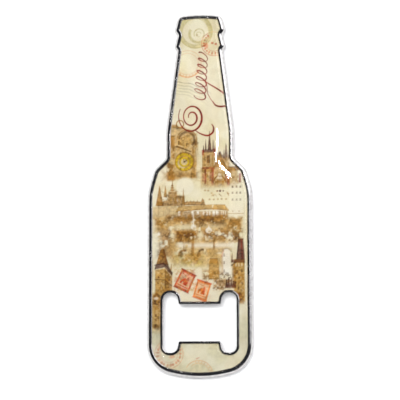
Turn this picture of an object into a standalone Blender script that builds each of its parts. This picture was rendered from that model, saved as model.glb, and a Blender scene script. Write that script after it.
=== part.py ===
"""Souvenir bottle opener in the shape of a bottle.

A cast metal plate has a raised bead around its outline and around the crown-cap opening. The tray between
the beads holds a printed picture on an adhesive film, under a clear resin dome. Two disc magnets are glued
into blind sockets in the back.

Metres, +Z up. The opener lies on its back: Z is 0 at the back face, +Y runs along the bottle towards its
cap, and the origin is at the middle of the length and of the width.
"""

import math
from collections.abc import Sequence
from dataclasses import dataclass, replace

import bmesh
import bpy
from mathutils import Vector

MM = 0.001

# The plate as a whole.
LENGTH = 146.0 * MM
WIDTH = 42.0 * MM
THICKNESS = 3.2 * MM  # from the back face to the crest of the bead
BACK_CHAMFER = 0.35 * MM  # around the back face, outside and in the opening

# The base of the bottle: a shallow crown between two round corners.
BASE_CROWN_RADIUS = 47.0 * MM
BASE_LEAN = math.radians(14.1)  # of the side of the crown, from straight across
BASE_CORNER_RADIUS = 11.8 * MM

# The shoulder, measured up from the base.
SHOULDER_START = 73.7 * MM
SHOULDER_START_RADIUS = 25.0 * MM
SHOULDER_BREAK = 82.7 * MM
SHOULDER_BREAK_INSET = 2.6 * MM  # in from the side of the body
SHOULDER_BREAK_RADIUS = 5.0 * MM
SHOULDER_TOP = 87.2 * MM
SHOULDER_TOP_RADIUS = 1.6 * MM
NECK_BEND = 97.7 * MM
NECK_BEND_RADIUS = 34.0 * MM

# The neck, its ring and its cap, measured down from the top of the cap.
NECK_HALF_WIDTH = 13.8 * MM  # of its straight lower part
NECK_TOP_HALF_WIDTH = 9.4 * MM
NECK_TOP_DROP = 15.0 * MM
RING_HALF_WIDTH = 10.4 * MM
RING_DROP = 13.5 * MM
RING_RADIUS = 1.5 * MM
NOTCH_HALF_WIDTH = 9.2 * MM
NOTCH_DROP = 8.7 * MM
NOTCH_RADIUS = 1.0 * MM
CAP_HALF_WIDTH = 10.4 * MM
CAP_SKIRT_DROP = 6.8 * MM
CAP_SKIRT_RADIUS = 2.0 * MM
CAP_TOP_HALF_WIDTH = 8.8 * MM
CAP_TOP_RADIUS = 2.6 * MM
CAP_CROWN_RADIUS = 46.0 * MM
CAP_LEAN = math.radians(6.2)

# The crown-cap opening. Its tabs hook the skirt of a crimped cap, which is 28.6 mm across.
OPENING_WIDTH = 29.0 * MM
OPENING_HEIGHT = 23.4 * MM  # over the lobes
OPENING_LIFT = 9.9 * MM  # from the base to the lowest point of the lobes
TAB_GAP = 14.4 * MM  # between the tips of the two tabs
TAB_TIP_HALF_WIDTH = 8.3 * MM
TAB_TIP_RADIUS = 0.7 * MM
TAB_ROOT_HALF_WIDTH = 9.1 * MM
LOBE_RADIUS = 2.6 * MM

# The bead that stands up around the tray.
OUTER_BEAD_WIDTH = 2.2 * MM
OUTER_BEAD_CREST = 1.5 * MM  # in from the outer edge
OUTER_BEAD_FOOT = 1.9 * MM  # below the crest, where its outer flank ends
OPENING_BEAD_WIDTH = 1.05 * MM
OPENING_BEAD_CREST = 0.5 * MM
OPENING_BEAD_FOOT = 0.7 * MM
BEAD_INNER_DROP = 0.4 * MM  # from the crest to the edge of the tray
TRAY_DEPTH = 1.1 * MM  # from the crest to the floor of the tray
TRAY_SHARE = 0.45  # of the wall beside the opening, that the beads leave to the tray

# What lies in the tray, from its floor up.
LAYER_GAP = 0.05 * MM
EDGE_CLEARANCE = 0.12 * MM
FILM_THICKNESS = 0.1 * MM
PICTURE_THICKNESS = 0.2 * MM
DOME_RISE = 0.8 * MM  # above the crest of the bead
DOME_EDGE = 1.3 * MM  # width of the dome's rounded edge
DOME_EDGE_SHARE = 0.45  # of the tray beside the opening, that one rounded edge may take

# The magnets in the back.
MAGNET_RADIUS = 6.0 * MM
MAGNET_THICKNESS = 1.2 * MM
MAGNET_CHAMFER = 0.2 * MM
MAGNET_CLEARANCE = 0.15 * MM
GLUE_THICKNESS = 0.1 * MM
GLUE_RADIUS = 5.2 * MM
UPPER_MAGNET_DROP = 41.0 * MM  # from the top of the cap to its centre
LOWER_MAGNET_LIFT = 54.0 * MM  # from the base to its centre
MAGNET_SIDES = 28

# How finely round stretches are cut.
CHORD_ERROR = 0.1 * MM
LARGEST_STEP = math.radians(24)
BEAD_STEPS = 3
DOME_STEPS = 3
SMALLEST_RADIUS = 0.15 * MM
TANGENT_SHARE = 0.98  # of an edge, that the round corners at its two ends may take

SIDE_WALL = (WIDTH - OPENING_WIDTH) / 2
BEAD_SCALE = min(1.0, (1 - TRAY_SHARE) * SIDE_WALL / (OUTER_BEAD_WIDTH + OPENING_BEAD_WIDTH))
SIDE_TRAY = SIDE_WALL - BEAD_SCALE * (OUTER_BEAD_WIDTH + OPENING_BEAD_WIDTH) - 2 * EDGE_CLEARANCE
TRAY_FLOOR = THICKNESS - TRAY_DEPTH
FILM_HEIGHT = TRAY_FLOOR + LAYER_GAP
PICTURE_HEIGHT = FILM_HEIGHT + FILM_THICKNESS + LAYER_GAP
DOME_HEIGHT = PICTURE_HEIGHT + PICTURE_THICKNESS + LAYER_GAP
GLUE_HEIGHT = MAGNET_THICKNESS + LAYER_GAP
SOCKET_DEPTH = GLUE_HEIGHT + GLUE_THICKNESS + LAYER_GAP
BASE_Y = -LENGTH / 2
TOP_Y = LENGTH / 2

# A rung is a ring of points and the height that it lies at.
Rung = tuple[list[Vector], float]


@dataclass(frozen=True)
class Corner:
    """A corner of an outline, with the radius that rounds it and the steps that the round is cut into."""

    x: float
    y: float
    radius: float
    steps: int = 1


@dataclass(frozen=True)
class Bead:
    """The bead along one edge of the tray: its width, and how far its crest is in and its flank goes down."""

    width: float
    crest: float
    foot: float

    def fitted(self) -> "Bead":
        """This bead, narrowed where the wall beside the opening is too thin for two whole ones."""
        return replace(self, width=self.width * BEAD_SCALE, crest=self.crest * BEAD_SCALE)

    def section(self) -> list[tuple[float, float]]:
        """The bead's section, from its foot on the edge, over its crest and down to the tray's floor.

        Each point is a distance in from the edge and a height above the back face.
        """
        found = []
        for step in range(BEAD_STEPS + 1):
            angle = math.pi / 2 * step / BEAD_STEPS
            drop = self.foot * (1 - math.sin(angle))
            found.append((self.crest * (1 - math.cos(angle)), THICKNESS - drop))
        for step in range(1, BEAD_STEPS + 1):
            angle = math.pi / 2 * step / BEAD_STEPS
            along = (self.width - self.crest) * math.sin(angle)
            found.append((self.crest + along, THICKNESS - BEAD_INNER_DROP * (1 - math.cos(angle))))
        return [*found, (self.width, TRAY_FLOOR)]


@dataclass(frozen=True)
class Finish:
    """Colour and surface of one material."""

    name: str
    color: tuple[float, float, float]
    roughness: float
    metallic: float
    alpha: float = 1.0

    def material(self) -> bpy.types.Material:
        """Makes the Blender material."""
        made = bpy.data.materials.new(self.name)
        made.use_nodes = True
        shader = made.node_tree.nodes["Principled BSDF"]
        shader.inputs["Base Color"].default_value = (*self.color, 1.0)
        shader.inputs["Roughness"].default_value = self.roughness
        shader.inputs["Metallic"].default_value = self.metallic
        shader.inputs["Alpha"].default_value = self.alpha
        return made


OUTER_BEAD = Bead(OUTER_BEAD_WIDTH, OUTER_BEAD_CREST, OUTER_BEAD_FOOT).fitted()
OPENING_BEAD = Bead(OPENING_BEAD_WIDTH, OPENING_BEAD_CREST, OPENING_BEAD_FOOT).fitted()

PLATING = Finish("bright_plating", (0.62, 0.62, 0.65), 0.12, 1.0)
FILM = Finish("adhesive_film", (0.86, 0.85, 0.80), 0.6, 0.0)
PICTURE = Finish("printed_card", (0.80, 0.72, 0.50), 0.5, 0.0)
RESIN = Finish("clear_resin", (0.97, 0.96, 0.90), 0.05, 0.0, 0.25)
NICKEL = Finish("nickel_plate", (0.66, 0.64, 0.60), 0.25, 1.0)
GLUE = Finish("magnet_glue", (0.82, 0.76, 0.55), 0.4, 0.0)


def clear_scene() -> None:
    """Removes every object that the scene starts with."""
    for obj in list(bpy.data.objects):
        bpy.data.objects.remove(obj)


def directions(corners: Sequence[Corner], index: int) -> tuple[Vector, Vector]:
    """The directions of the edges into and out of one corner."""
    here = corners[index]
    before = corners[index - 1]
    after = corners[(index + 1) % len(corners)]
    arriving = Vector((here.x - before.x, here.y - before.y)).normalized()
    leaving = Vector((after.x - here.x, after.y - here.y)).normalized()
    return arriving, leaving


def turn_at(corners: Sequence[Corner], index: int) -> float:
    """The angle that the outline turns through at one corner, positive to the left."""
    arriving, leaving = directions(corners, index)
    return math.atan2(arriving.x * leaving.y - arriving.y * leaving.x, arriving.dot(leaving))


def stepped(corners: Sequence[Corner]) -> list[Corner]:
    """Gives each corner enough steps to stay within the chord error at its own radius."""
    found = []
    for index, corner in enumerate(corners):
        turn = abs(turn_at(corners, index))
        flat = 2 * math.acos(max(1 - CHORD_ERROR / corner.radius, 0.0))
        found.append(replace(corner, steps=max(1, math.ceil(turn / min(flat, LARGEST_STEP)))))
    return found


def inset(corners: Sequence[Corner], distance: float) -> list[Corner]:
    """Moves an anticlockwise outline inwards by a distance, or outwards by a negative one.

    Radii follow the move, so the round corners stay concentric, and each keeps its number of steps.
    """
    found = []
    for index, corner in enumerate(corners):
        arriving, leaving = directions(corners, index)
        normals = Vector((-arriving.y - leaving.y, arriving.x + leaving.x))
        move = normals * (distance / (1 + arriving.dot(leaving)))
        sign = math.copysign(1, turn_at(corners, index))
        radius = max(corner.radius - sign * distance, SMALLEST_RADIUS)
        found.append(replace(corner, x=corner.x + move.x, y=corner.y + move.y, radius=radius))
    return found


def rounded(corners: Sequence[Corner]) -> list[Vector]:
    """The outline's points, with each corner rounded as far as the edges beside it allow."""
    turns = [turn_at(corners, index) for index in range(len(corners))]
    reach = [c.radius * math.tan(abs(t) / 2) for c, t in zip(corners, turns, strict=True)]
    limit = [1.0] * len(corners)
    for index, corner in enumerate(corners):
        edge = math.dist((corner.x, corner.y), (corners[index - 1].x, corners[index - 1].y))
        share = TANGENT_SHARE * edge / (reach[index] + reach[index - 1])
        limit[index] = min(limit[index], share)
        limit[index - 1] = min(limit[index - 1], share)
    points = []
    for index, corner in enumerate(corners):
        arriving, _ = directions(corners, index)
        turn = turns[index]
        start = Vector((corner.x, corner.y)) - arriving * reach[index] * limit[index]
        radius = corner.radius * limit[index]
        side = Vector((-arriving.y, arriving.x)) * math.copysign(radius, turn)
        for step in range(corner.steps + 1):
            angle = abs(turn) * step / corner.steps
            points.append(start + arriving * radius * math.sin(angle) + side * (1 - math.cos(angle)))
    return points


def mirrored(half: Sequence[Corner]) -> list[Corner]:
    """The left-hand corners that match right-hand ones, in the order that closes the outline."""
    return [replace(corner, x=-corner.x) for corner in reversed(half)]


def crown_height(radius: float, lean: float) -> float:
    """How far a crown's unrounded point stands above its round top."""
    return radius * (1 / math.cos(lean) - 1)


def beside_crown(radius: float, turn: float, half_width: float, crown_radius: float, lean: float) -> float:
    """The radius of the corner beside a crown, no larger than what the crown leaves of the edge allows."""
    room = TANGENT_SHARE * half_width / math.cos(lean) - crown_radius * math.tan(lean)
    return min(radius, room / math.tan(turn / 2))


def bottle_outline() -> list[Corner]:
    """The outer edge of the plate, anticlockwise from the middle of the base."""
    side = WIDTH / 2
    base_point = BASE_Y - crown_height(BASE_CROWN_RADIUS, BASE_LEAN)
    base_corner = base_point + side * math.tan(BASE_LEAN)
    cap_point = TOP_Y + crown_height(CAP_CROWN_RADIUS, CAP_LEAN)
    cap_corner = cap_point - CAP_TOP_HALF_WIDTH * math.tan(CAP_LEAN)
    base_turn = math.pi / 2 - BASE_LEAN
    base_radius = beside_crown(BASE_CORNER_RADIUS, base_turn, side, BASE_CROWN_RADIUS, BASE_LEAN)
    cap_slope = math.atan2(cap_corner - (TOP_Y - CAP_SKIRT_DROP), CAP_HALF_WIDTH - CAP_TOP_HALF_WIDTH)
    cap_turn = cap_slope - CAP_LEAN
    cap_radius = beside_crown(CAP_TOP_RADIUS, cap_turn, CAP_TOP_HALF_WIDTH, CAP_CROWN_RADIUS, CAP_LEAN)
    right = [
        Corner(side, base_corner, base_radius),
        Corner(side, BASE_Y + SHOULDER_START, SHOULDER_START_RADIUS),
        Corner(side - SHOULDER_BREAK_INSET, BASE_Y + SHOULDER_BREAK, SHOULDER_BREAK_RADIUS),
        Corner(NECK_HALF_WIDTH, BASE_Y + SHOULDER_TOP, SHOULDER_TOP_RADIUS),
        Corner(NECK_HALF_WIDTH, BASE_Y + NECK_BEND, NECK_BEND_RADIUS),
        Corner(NECK_TOP_HALF_WIDTH, TOP_Y - NECK_TOP_DROP, NOTCH_RADIUS),
        Corner(RING_HALF_WIDTH, TOP_Y - RING_DROP, RING_RADIUS),
        Corner(NOTCH_HALF_WIDTH, TOP_Y - NOTCH_DROP, NOTCH_RADIUS),
        Corner(CAP_HALF_WIDTH, TOP_Y - CAP_SKIRT_DROP, CAP_SKIRT_RADIUS),
        Corner(CAP_TOP_HALF_WIDTH, cap_corner, cap_radius),
    ]
    base = Corner(0.0, base_point, BASE_CROWN_RADIUS)
    cap = Corner(0.0, cap_point, CAP_CROWN_RADIUS)
    return stepped([base, *right, cap, *mirrored(right)])


def opening_outline() -> list[Corner]:
    """The edge of the crown-cap opening, anticlockwise from the right side of its lower tab."""
    centre = BASE_Y + OPENING_LIFT + OPENING_HEIGHT / 2
    side = OPENING_WIDTH / 2
    lower = [
        Corner(TAB_TIP_HALF_WIDTH, -TAB_GAP / 2, TAB_TIP_RADIUS),
        Corner(TAB_ROOT_HALF_WIDTH, -OPENING_HEIGHT / 2, LOBE_RADIUS),
        Corner(side, -OPENING_HEIGHT / 2, LOBE_RADIUS),
    ]
    right = lower + [replace(corner, y=-corner.y) for corner in reversed(lower)]
    whole = [*right, *mirrored(right)]
    return stepped([replace(corner, y=corner.y + centre) for corner in whole])


def circle(radius: float, sides: int, centre_y: float = 0.0) -> list[Vector]:
    """Points of a circle on the axis of the bottle."""
    angles = [2 * math.pi * side / sides for side in range(sides)]
    return [Vector((radius * math.cos(a), centre_y + radius * math.sin(a))) for a in angles]


def edge_rungs(corners: Sequence[Corner], inwards: int, section: Sequence[tuple[float, float]]) -> list[Rung]:
    """The rungs of an edge whose section steps into the metal.

    Args:
        corners: the edge's outline.
        inwards: 1 where the metal is inside the outline, and -1 where it is outside.
        section: distances into the metal and heights, from the lowest up.
    """
    return [(rounded(inset(corners, inwards * away)), height) for away, height in section]


def add_ring(bm: bmesh.types.BMesh, rung: Rung) -> list[bmesh.types.BMVert]:
    """Adds one rung's points to the mesh."""
    points, height = rung
    return [bm.verts.new((point.x, point.y, height)) for point in points]


def bridge(
    bm: bmesh.types.BMesh, below: list[bmesh.types.BMVert], above: list[bmesh.types.BMVert]
) -> None:
    """Joins two rings of the same length with quads."""
    for index in range(len(below)):
        bm.faces.new((below[index - 1], below[index], above[index], above[index - 1]))


def stack(bm: bmesh.types.BMesh, rungs: Sequence[Rung]) -> tuple[list, list]:
    """Adds the wall that climbs through the rungs, and returns its lowest and highest rings."""
    rings = [add_ring(bm, rung) for rung in rungs]
    for below, above in zip(rings, rings[1:]):
        bridge(bm, below, above)
    return rings[0], rings[-1]


def fill(bm: bmesh.types.BMesh, rings: Sequence[list[bmesh.types.BMVert]]) -> None:
    """Fills the flat face whose outer edge and holes are these rings."""
    edges = [bm.edges.get((ring[i - 1], ring[i])) for ring in rings for i in range(len(ring))]
    bmesh.ops.triangle_fill(bm, use_beauty=True, use_dissolve=False, edges=edges)


def solid(
    name: str,
    finish: Finish,
    edge: Sequence[Rung],
    holes: Sequence[Sequence[Rung]] = (),
    pockets: Sequence[Sequence[Rung]] = (),
) -> bpy.types.Object:
    """Builds one closed flat-faced solid.

    Args:
        name: the object's name.
        finish: its material.
        edge: the rungs of its outer wall, from the lower face up.
        holes: the rungs of the wall of each hole that goes through.
        pockets: the rungs of each blind pocket in the lower face, ending at its floor.
    """
    bm = bmesh.new()
    walls = [stack(bm, rungs) for rungs in (edge, *holes)]
    blind = [stack(bm, rungs) for rungs in pockets]
    for _, floor in blind:
        bm.faces.new(floor)
    fill(bm, [lowest for lowest, _ in (*walls, *blind)])
    fill(bm, [highest for _, highest in walls])
    bmesh.ops.recalc_face_normals(bm, faces=bm.faces)
    mesh = bpy.data.meshes.new(name)
    bm.to_mesh(mesh)
    bm.free()
    mesh.materials.append(finish.material())
    mesh.set_sharp_from_angle(angle=math.radians(35))
    obj = bpy.data.objects.new(name, mesh)
    bpy.context.scene.collection.objects.link(obj)
    return obj


def magnet_centres() -> dict[str, float]:
    """How far along the bottle each magnet's axis is."""
    return {"upper": TOP_Y - UPPER_MAGNET_DROP, "lower": BASE_Y + LOWER_MAGNET_LIFT}


def opener_body(bottle: Sequence[Corner], opening: Sequence[Corner]) -> bpy.types.Object:
    """The cast plate: beads, tray, opening and the sockets for the magnets."""
    back = [(BACK_CHAMFER, 0.0), (0.0, BACK_CHAMFER)]
    outer = back + OUTER_BEAD.section()
    inner = back + OPENING_BEAD.section()
    socket = MAGNET_RADIUS + MAGNET_CLEARANCE
    sockets = [
        [(circle(socket, MAGNET_SIDES, y), 0.0), (circle(socket, MAGNET_SIDES, y), SOCKET_DEPTH)]
        for y in magnet_centres().values()
    ]
    return solid(
        "opener_body", PLATING, edge_rungs(bottle, 1, outer), [edge_rungs(opening, -1, inner)], sockets
    )


def tray_layer(
    name: str,
    finish: Finish,
    bottle: Sequence[Corner],
    opening: Sequence[Corner],
    section: Sequence[tuple[float, float]],
    height: float,
) -> bpy.types.Object:
    """A layer that fills the tray and goes round the opening, resting at a height above the back face."""
    outer = inset(bottle, OUTER_BEAD.width + EDGE_CLEARANCE)
    inner = inset(opening, -OPENING_BEAD.width - EDGE_CLEARANCE)
    layer = solid(name, finish, edge_rungs(outer, 1, section), [edge_rungs(inner, -1, section)])
    layer.location.z = height
    return layer


def sheet_section(thickness: float) -> list[tuple[float, float]]:
    """The section of a plain sheet's edge."""
    return [(0.0, 0.0), (0.0, thickness)]


def dome_section() -> list[tuple[float, float]]:
    """The section of the dome's edge: straight up inside the bead, then over onto its crown."""
    bead_edge = THICKNESS - BEAD_INNER_DROP - DOME_HEIGHT
    rise = DOME_RISE + BEAD_INNER_DROP
    width = min(DOME_EDGE, DOME_EDGE_SHARE * SIDE_TRAY)
    section = [(0.0, 0.0)]
    for step in range(DOME_STEPS + 1):
        angle = math.pi / 2 * step / DOME_STEPS
        section.append((width * (1 - math.cos(angle)), bead_edge + rise * math.sin(angle)))
    return section


def magnet(name: str, centre_y: float) -> bpy.types.Object:
    """A disc magnet with chamfered edges, flush with the back face."""
    inner, outer = circle(MAGNET_RADIUS - MAGNET_CHAMFER, MAGNET_SIDES), circle(MAGNET_RADIUS, MAGNET_SIDES)
    rungs = [
        (inner, 0.0),
        (outer, MAGNET_CHAMFER),
        (outer, MAGNET_THICKNESS - MAGNET_CHAMFER),
        (inner, MAGNET_THICKNESS),
    ]
    disc = solid(name, NICKEL, rungs)
    disc.location.y = centre_y
    return disc


def glue_spot(name: str, centre_y: float) -> bpy.types.Object:
    """The cured glue between a magnet and the floor of its socket."""
    ring = circle(GLUE_RADIUS, MAGNET_SIDES)
    spot = solid(name, GLUE, [(ring, 0.0), (ring, GLUE_THICKNESS)])
    spot.location = (0.0, centre_y, GLUE_HEIGHT)
    return spot


def main() -> None:
    """Builds every piece and parents them to one empty at the origin."""
    clear_scene()
    bottle = bottle_outline()
    opening = opening_outline()
    pieces = [
        opener_body(bottle, opening),
        tray_layer("picture_film", FILM, bottle, opening, sheet_section(FILM_THICKNESS), FILM_HEIGHT),
        tray_layer(
            "printed_picture", PICTURE, bottle, opening, sheet_section(PICTURE_THICKNESS), PICTURE_HEIGHT
        ),
        tray_layer("resin_dome", RESIN, bottle, opening, dome_section(), DOME_HEIGHT),
    ]
    for place, centre_y in magnet_centres().items():
        pieces.append(magnet(f"magnet_{place}", centre_y))
        pieces.append(glue_spot(f"magnet_glue_{place}", centre_y))
    opener = bpy.data.objects.new("opener", None)
    bpy.context.scene.collection.objects.link(opener)
    for piece in pieces:
        piece.parent = opener


main()
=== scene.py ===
"""Looks of a bottle-shaped souvenir opener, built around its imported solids.

A plated casting carries a raised bead round its outline and round the crown-cap opening. Between the beads
lies a printed card under a dome of clear resin, and two disc magnets sit in the back. Everything is in
metres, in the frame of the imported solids: +Y runs along the bottle towards its cap, and +Z is up.
"""

from __future__ import annotations

import logging
import math
from collections.abc import Callable, Sequence
from dataclasses import dataclass, field, replace
from enum import Enum

import bmesh
import bpy
import numpy as np
from mathutils import Matrix, Vector
from mathutils.geometry import delaunay_2d_cdt

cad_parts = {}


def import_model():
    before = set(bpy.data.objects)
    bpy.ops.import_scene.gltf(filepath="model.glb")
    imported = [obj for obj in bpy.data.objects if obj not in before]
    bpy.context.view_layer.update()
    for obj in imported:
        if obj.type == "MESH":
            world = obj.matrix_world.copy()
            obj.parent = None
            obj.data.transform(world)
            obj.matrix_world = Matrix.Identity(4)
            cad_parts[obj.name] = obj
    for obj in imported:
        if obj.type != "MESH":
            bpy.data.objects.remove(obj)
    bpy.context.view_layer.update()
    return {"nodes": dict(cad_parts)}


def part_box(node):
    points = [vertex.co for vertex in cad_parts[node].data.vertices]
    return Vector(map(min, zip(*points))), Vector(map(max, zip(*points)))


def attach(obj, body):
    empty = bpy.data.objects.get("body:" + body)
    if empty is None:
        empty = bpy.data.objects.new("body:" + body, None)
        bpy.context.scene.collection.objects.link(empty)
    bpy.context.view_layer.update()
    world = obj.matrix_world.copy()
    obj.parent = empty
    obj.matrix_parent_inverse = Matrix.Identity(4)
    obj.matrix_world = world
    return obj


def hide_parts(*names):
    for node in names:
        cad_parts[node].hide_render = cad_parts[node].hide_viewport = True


LOG = logging.getLogger("opener")
MM = 0.001
LEAST_AREA = 1e-3
MERGE_REACH = 1e-7
TINY = 1e-18
SHARPEST_FADE = 0.02
BODY = "root"
SMOOTH_ANGLE = math.radians(35)

Color = tuple[float, float, float]
Place = tuple[float, float]
Socket = bpy.types.NodeSocket


# ------------------------------------------------------------
# Outlines
# ------------------------------------------------------------


@dataclass(frozen=True)
class Corner:
    """A corner of an outline: its radius, and the steps of its round and of the straight edge after it."""

    x: float
    y: float
    radius: float
    steps: int = 1
    edge_steps: int = 1


@dataclass(frozen=True)
class Outline:
    """A closed anticlockwise outline with rounded corners."""

    corners: tuple[Corner, ...]
    largest_turn: float = math.radians(5)
    longest_step: float = 1.2 * MM
    smallest_radius: float = 0.15 * MM
    tangent_share: float = 0.98

    def _edges(self, index: int) -> tuple[Vector, Vector]:
        """Directions of the edges into and out of one corner."""
        here, before = self.corners[index], self.corners[index - 1]
        after = self.corners[(index + 1) % len(self.corners)]
        arriving = Vector((here.x - before.x, here.y - before.y)).normalized()
        leaving = Vector((after.x - here.x, after.y - here.y)).normalized()
        return arriving, leaving

    def _turn(self, index: int) -> float:
        """Angle that the outline turns through at one corner, positive to the left."""
        arriving, leaving = self._edges(index)
        return math.atan2(arriving.x * leaving.y - arriving.y * leaving.x, arriving.dot(leaving))

    def stepped(self) -> Outline:
        """Gives each corner the steps that its turn and the edge after it need."""
        found = []
        for index, corner in enumerate(self.corners):
            after = self.corners[(index + 1) % len(self.corners)]
            edge = math.dist((corner.x, corner.y), (after.x, after.y))
            turns = max(2, math.ceil(abs(self._turn(index)) / self.largest_turn))
            found.append(replace(corner, steps=turns, edge_steps=math.ceil(edge / self.longest_step)))
        return replace(self, corners=tuple(found))

    def inset(self, distance: float) -> Outline:
        """Moves the outline inwards, or outwards by a negative distance.

        Args:
            distance: how far each edge moves, in metres.

        Returns:
            An outline whose round corners are concentric with this one's.
        """
        found = []
        for index, corner in enumerate(self.corners):
            arriving, leaving = self._edges(index)
            normals = Vector((-arriving.y - leaving.y, arriving.x + leaving.x))
            move = normals * (distance / (1 + arriving.dot(leaving)))
            sign = math.copysign(1, self._turn(index))
            radius = max(corner.radius - sign * distance, self.smallest_radius)
            found.append(replace(corner, x=corner.x + move.x, y=corner.y + move.y, radius=radius))
        return replace(self, corners=tuple(found))

    def points(self) -> list[Vector]:
        """The outline's points, with each corner rounded as far as its edges allow."""
        count = len(self.corners)
        turns = [self._turn(index) for index in range(count)]
        reach = [c.radius * math.tan(abs(t) / 2) for c, t in zip(self.corners, turns, strict=True)]
        limit = [1.0] * count
        for index, corner in enumerate(self.corners):
            before = self.corners[index - 1]
            edge = math.dist((corner.x, corner.y), (before.x, before.y))
            share = self.tangent_share * edge / (reach[index] + reach[index - 1])
            limit[index] = min(limit[index], share)
            limit[index - 1] = min(limit[index - 1], share)
        rounds = []
        for index, corner in enumerate(self.corners):
            arriving, _ = self._edges(index)
            start = Vector((corner.x, corner.y)) - arriving * reach[index] * limit[index]
            radius = corner.radius * limit[index]
            side = Vector((-arriving.y, arriving.x)) * math.copysign(radius, turns[index])
            angles = [abs(turns[index]) * step / corner.steps for step in range(corner.steps + 1)]
            rounds.append(
                [start + arriving * radius * math.sin(a) + side * (1 - math.cos(a)) for a in angles],
            )
        found = []
        for index, corner in enumerate(self.corners):
            last, first = rounds[index][-1], rounds[(index + 1) % count][0]
            steps = corner.edge_steps
            found += rounds[index] + [last.lerp(first, step / steps) for step in range(1, steps)]
        return found


def mirrored(half: Sequence[Corner]) -> list[Corner]:
    """Left-hand corners that match right-hand ones, in the order that closes the outline."""
    return [replace(corner, x=-corner.x) for corner in reversed(half)]


@dataclass(frozen=True)
class BottleShape:
    """Sizes of the bottle's outline. Heights run up from the base, and drops down from the cap."""

    base_crown_radius: float = 47.0 * MM
    base_lean: float = math.radians(14.1)
    base_corner_radius: float = 11.8 * MM
    shoulder_start: float = 73.7 * MM
    shoulder_start_radius: float = 25.0 * MM
    shoulder_break: float = 82.7 * MM
    shoulder_break_inset: float = 2.6 * MM
    shoulder_break_radius: float = 5.0 * MM
    shoulder_top: float = 87.2 * MM
    shoulder_top_radius: float = 1.6 * MM
    neck_bend: float = 97.7 * MM
    neck_bend_radius: float = 34.0 * MM
    neck_half_width: float = 13.8 * MM
    neck_top_half_width: float = 9.4 * MM
    neck_top_drop: float = 15.0 * MM
    ring_half_width: float = 10.4 * MM
    ring_drop: float = 13.5 * MM
    ring_radius: float = 1.5 * MM
    notch_half_width: float = 9.2 * MM
    notch_drop: float = 8.7 * MM
    notch_radius: float = 1.0 * MM
    cap_half_width: float = 10.4 * MM
    cap_skirt_drop: float = 6.8 * MM
    cap_skirt_radius: float = 2.0 * MM
    cap_top_half_width: float = 8.8 * MM
    cap_top_radius: float = 2.6 * MM
    cap_crown_radius: float = 46.0 * MM
    cap_lean: float = math.radians(6.2)

    def outline(self, low: Vector, high: Vector) -> Outline:
        """The plate's outer edge.

        Args:
            low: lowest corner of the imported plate's box.
            high: its highest corner.

        Returns:
            The outline, anticlockwise from the middle of the base.
        """
        side = (high.x - low.x) / 2
        base_point = low.y - self.base_crown_radius * (1 / math.cos(self.base_lean) - 1)
        cap_point = high.y + self.cap_crown_radius * (1 / math.cos(self.cap_lean) - 1)
        right = [
            Corner(side, base_point + side * math.tan(self.base_lean), self.base_corner_radius),
            Corner(side, low.y + self.shoulder_start, self.shoulder_start_radius),
            Corner(
                side - self.shoulder_break_inset,
                low.y + self.shoulder_break,
                self.shoulder_break_radius,
            ),
            Corner(self.neck_half_width, low.y + self.shoulder_top, self.shoulder_top_radius),
            Corner(self.neck_half_width, low.y + self.neck_bend, self.neck_bend_radius),
            Corner(self.neck_top_half_width, high.y - self.neck_top_drop, self.notch_radius),
            Corner(self.ring_half_width, high.y - self.ring_drop, self.ring_radius),
            Corner(self.notch_half_width, high.y - self.notch_drop, self.notch_radius),
            Corner(self.cap_half_width, high.y - self.cap_skirt_drop, self.cap_skirt_radius),
            Corner(
                self.cap_top_half_width,
                cap_point - self.cap_top_half_width * math.tan(self.cap_lean),
                self.cap_top_radius,
            ),
        ]
        base = Corner(0.0, base_point, self.base_crown_radius)
        cap = Corner(0.0, cap_point, self.cap_crown_radius)
        return Outline((base, *right, cap, *mirrored(right))).stepped()


@dataclass(frozen=True)
class OpeningShape:
    """Sizes of the crown-cap opening, whose two tabs hook under a cap's skirt."""

    width: float = 29.0 * MM
    height: float = 23.4 * MM
    lift: float = 9.9 * MM
    tab_gap: float = 14.4 * MM
    tab_tip_half_width: float = 8.3 * MM
    tab_tip_radius: float = 0.7 * MM
    tab_root_half_width: float = 9.1 * MM
    lobe_radius: float = 2.6 * MM

    def outline(self, low: Vector) -> Outline:
        """The opening's edge, anticlockwise from the right side of its lower tab.

        Args:
            low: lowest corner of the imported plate's box.

        Returns:
            The outline.
        """
        centre = low.y + self.lift + self.height / 2
        lower = [
            Corner(self.tab_tip_half_width, -self.tab_gap / 2, self.tab_tip_radius),
            Corner(self.tab_root_half_width, -self.height / 2, self.lobe_radius),
            Corner(self.width / 2, -self.height / 2, self.lobe_radius),
        ]
        right = lower + [replace(corner, y=-corner.y) for corner in reversed(lower)]
        whole = [*right, *mirrored(right)]
        return Outline(tuple(replace(corner, y=corner.y + centre) for corner in whole)).stepped()


# ------------------------------------------------------------
# Mesh work
# ------------------------------------------------------------

# A rung is a ring of points and the height that it lies at.
Rung = tuple[Sequence[Vector], float]


def circle(radius: float, sides: int, centre_y: float) -> list[Vector]:
    """Points of a circle on the axis of the bottle.

    Args:
        radius: its radius.
        sides: how many points.
        centre_y: how far along the bottle its middle lies.

    Returns:
        The points, anticlockwise.
    """
    angles = [2 * math.pi * side / sides for side in range(sides)]
    return [Vector((radius * math.cos(a), centre_y + radius * math.sin(a))) for a in angles]


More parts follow.
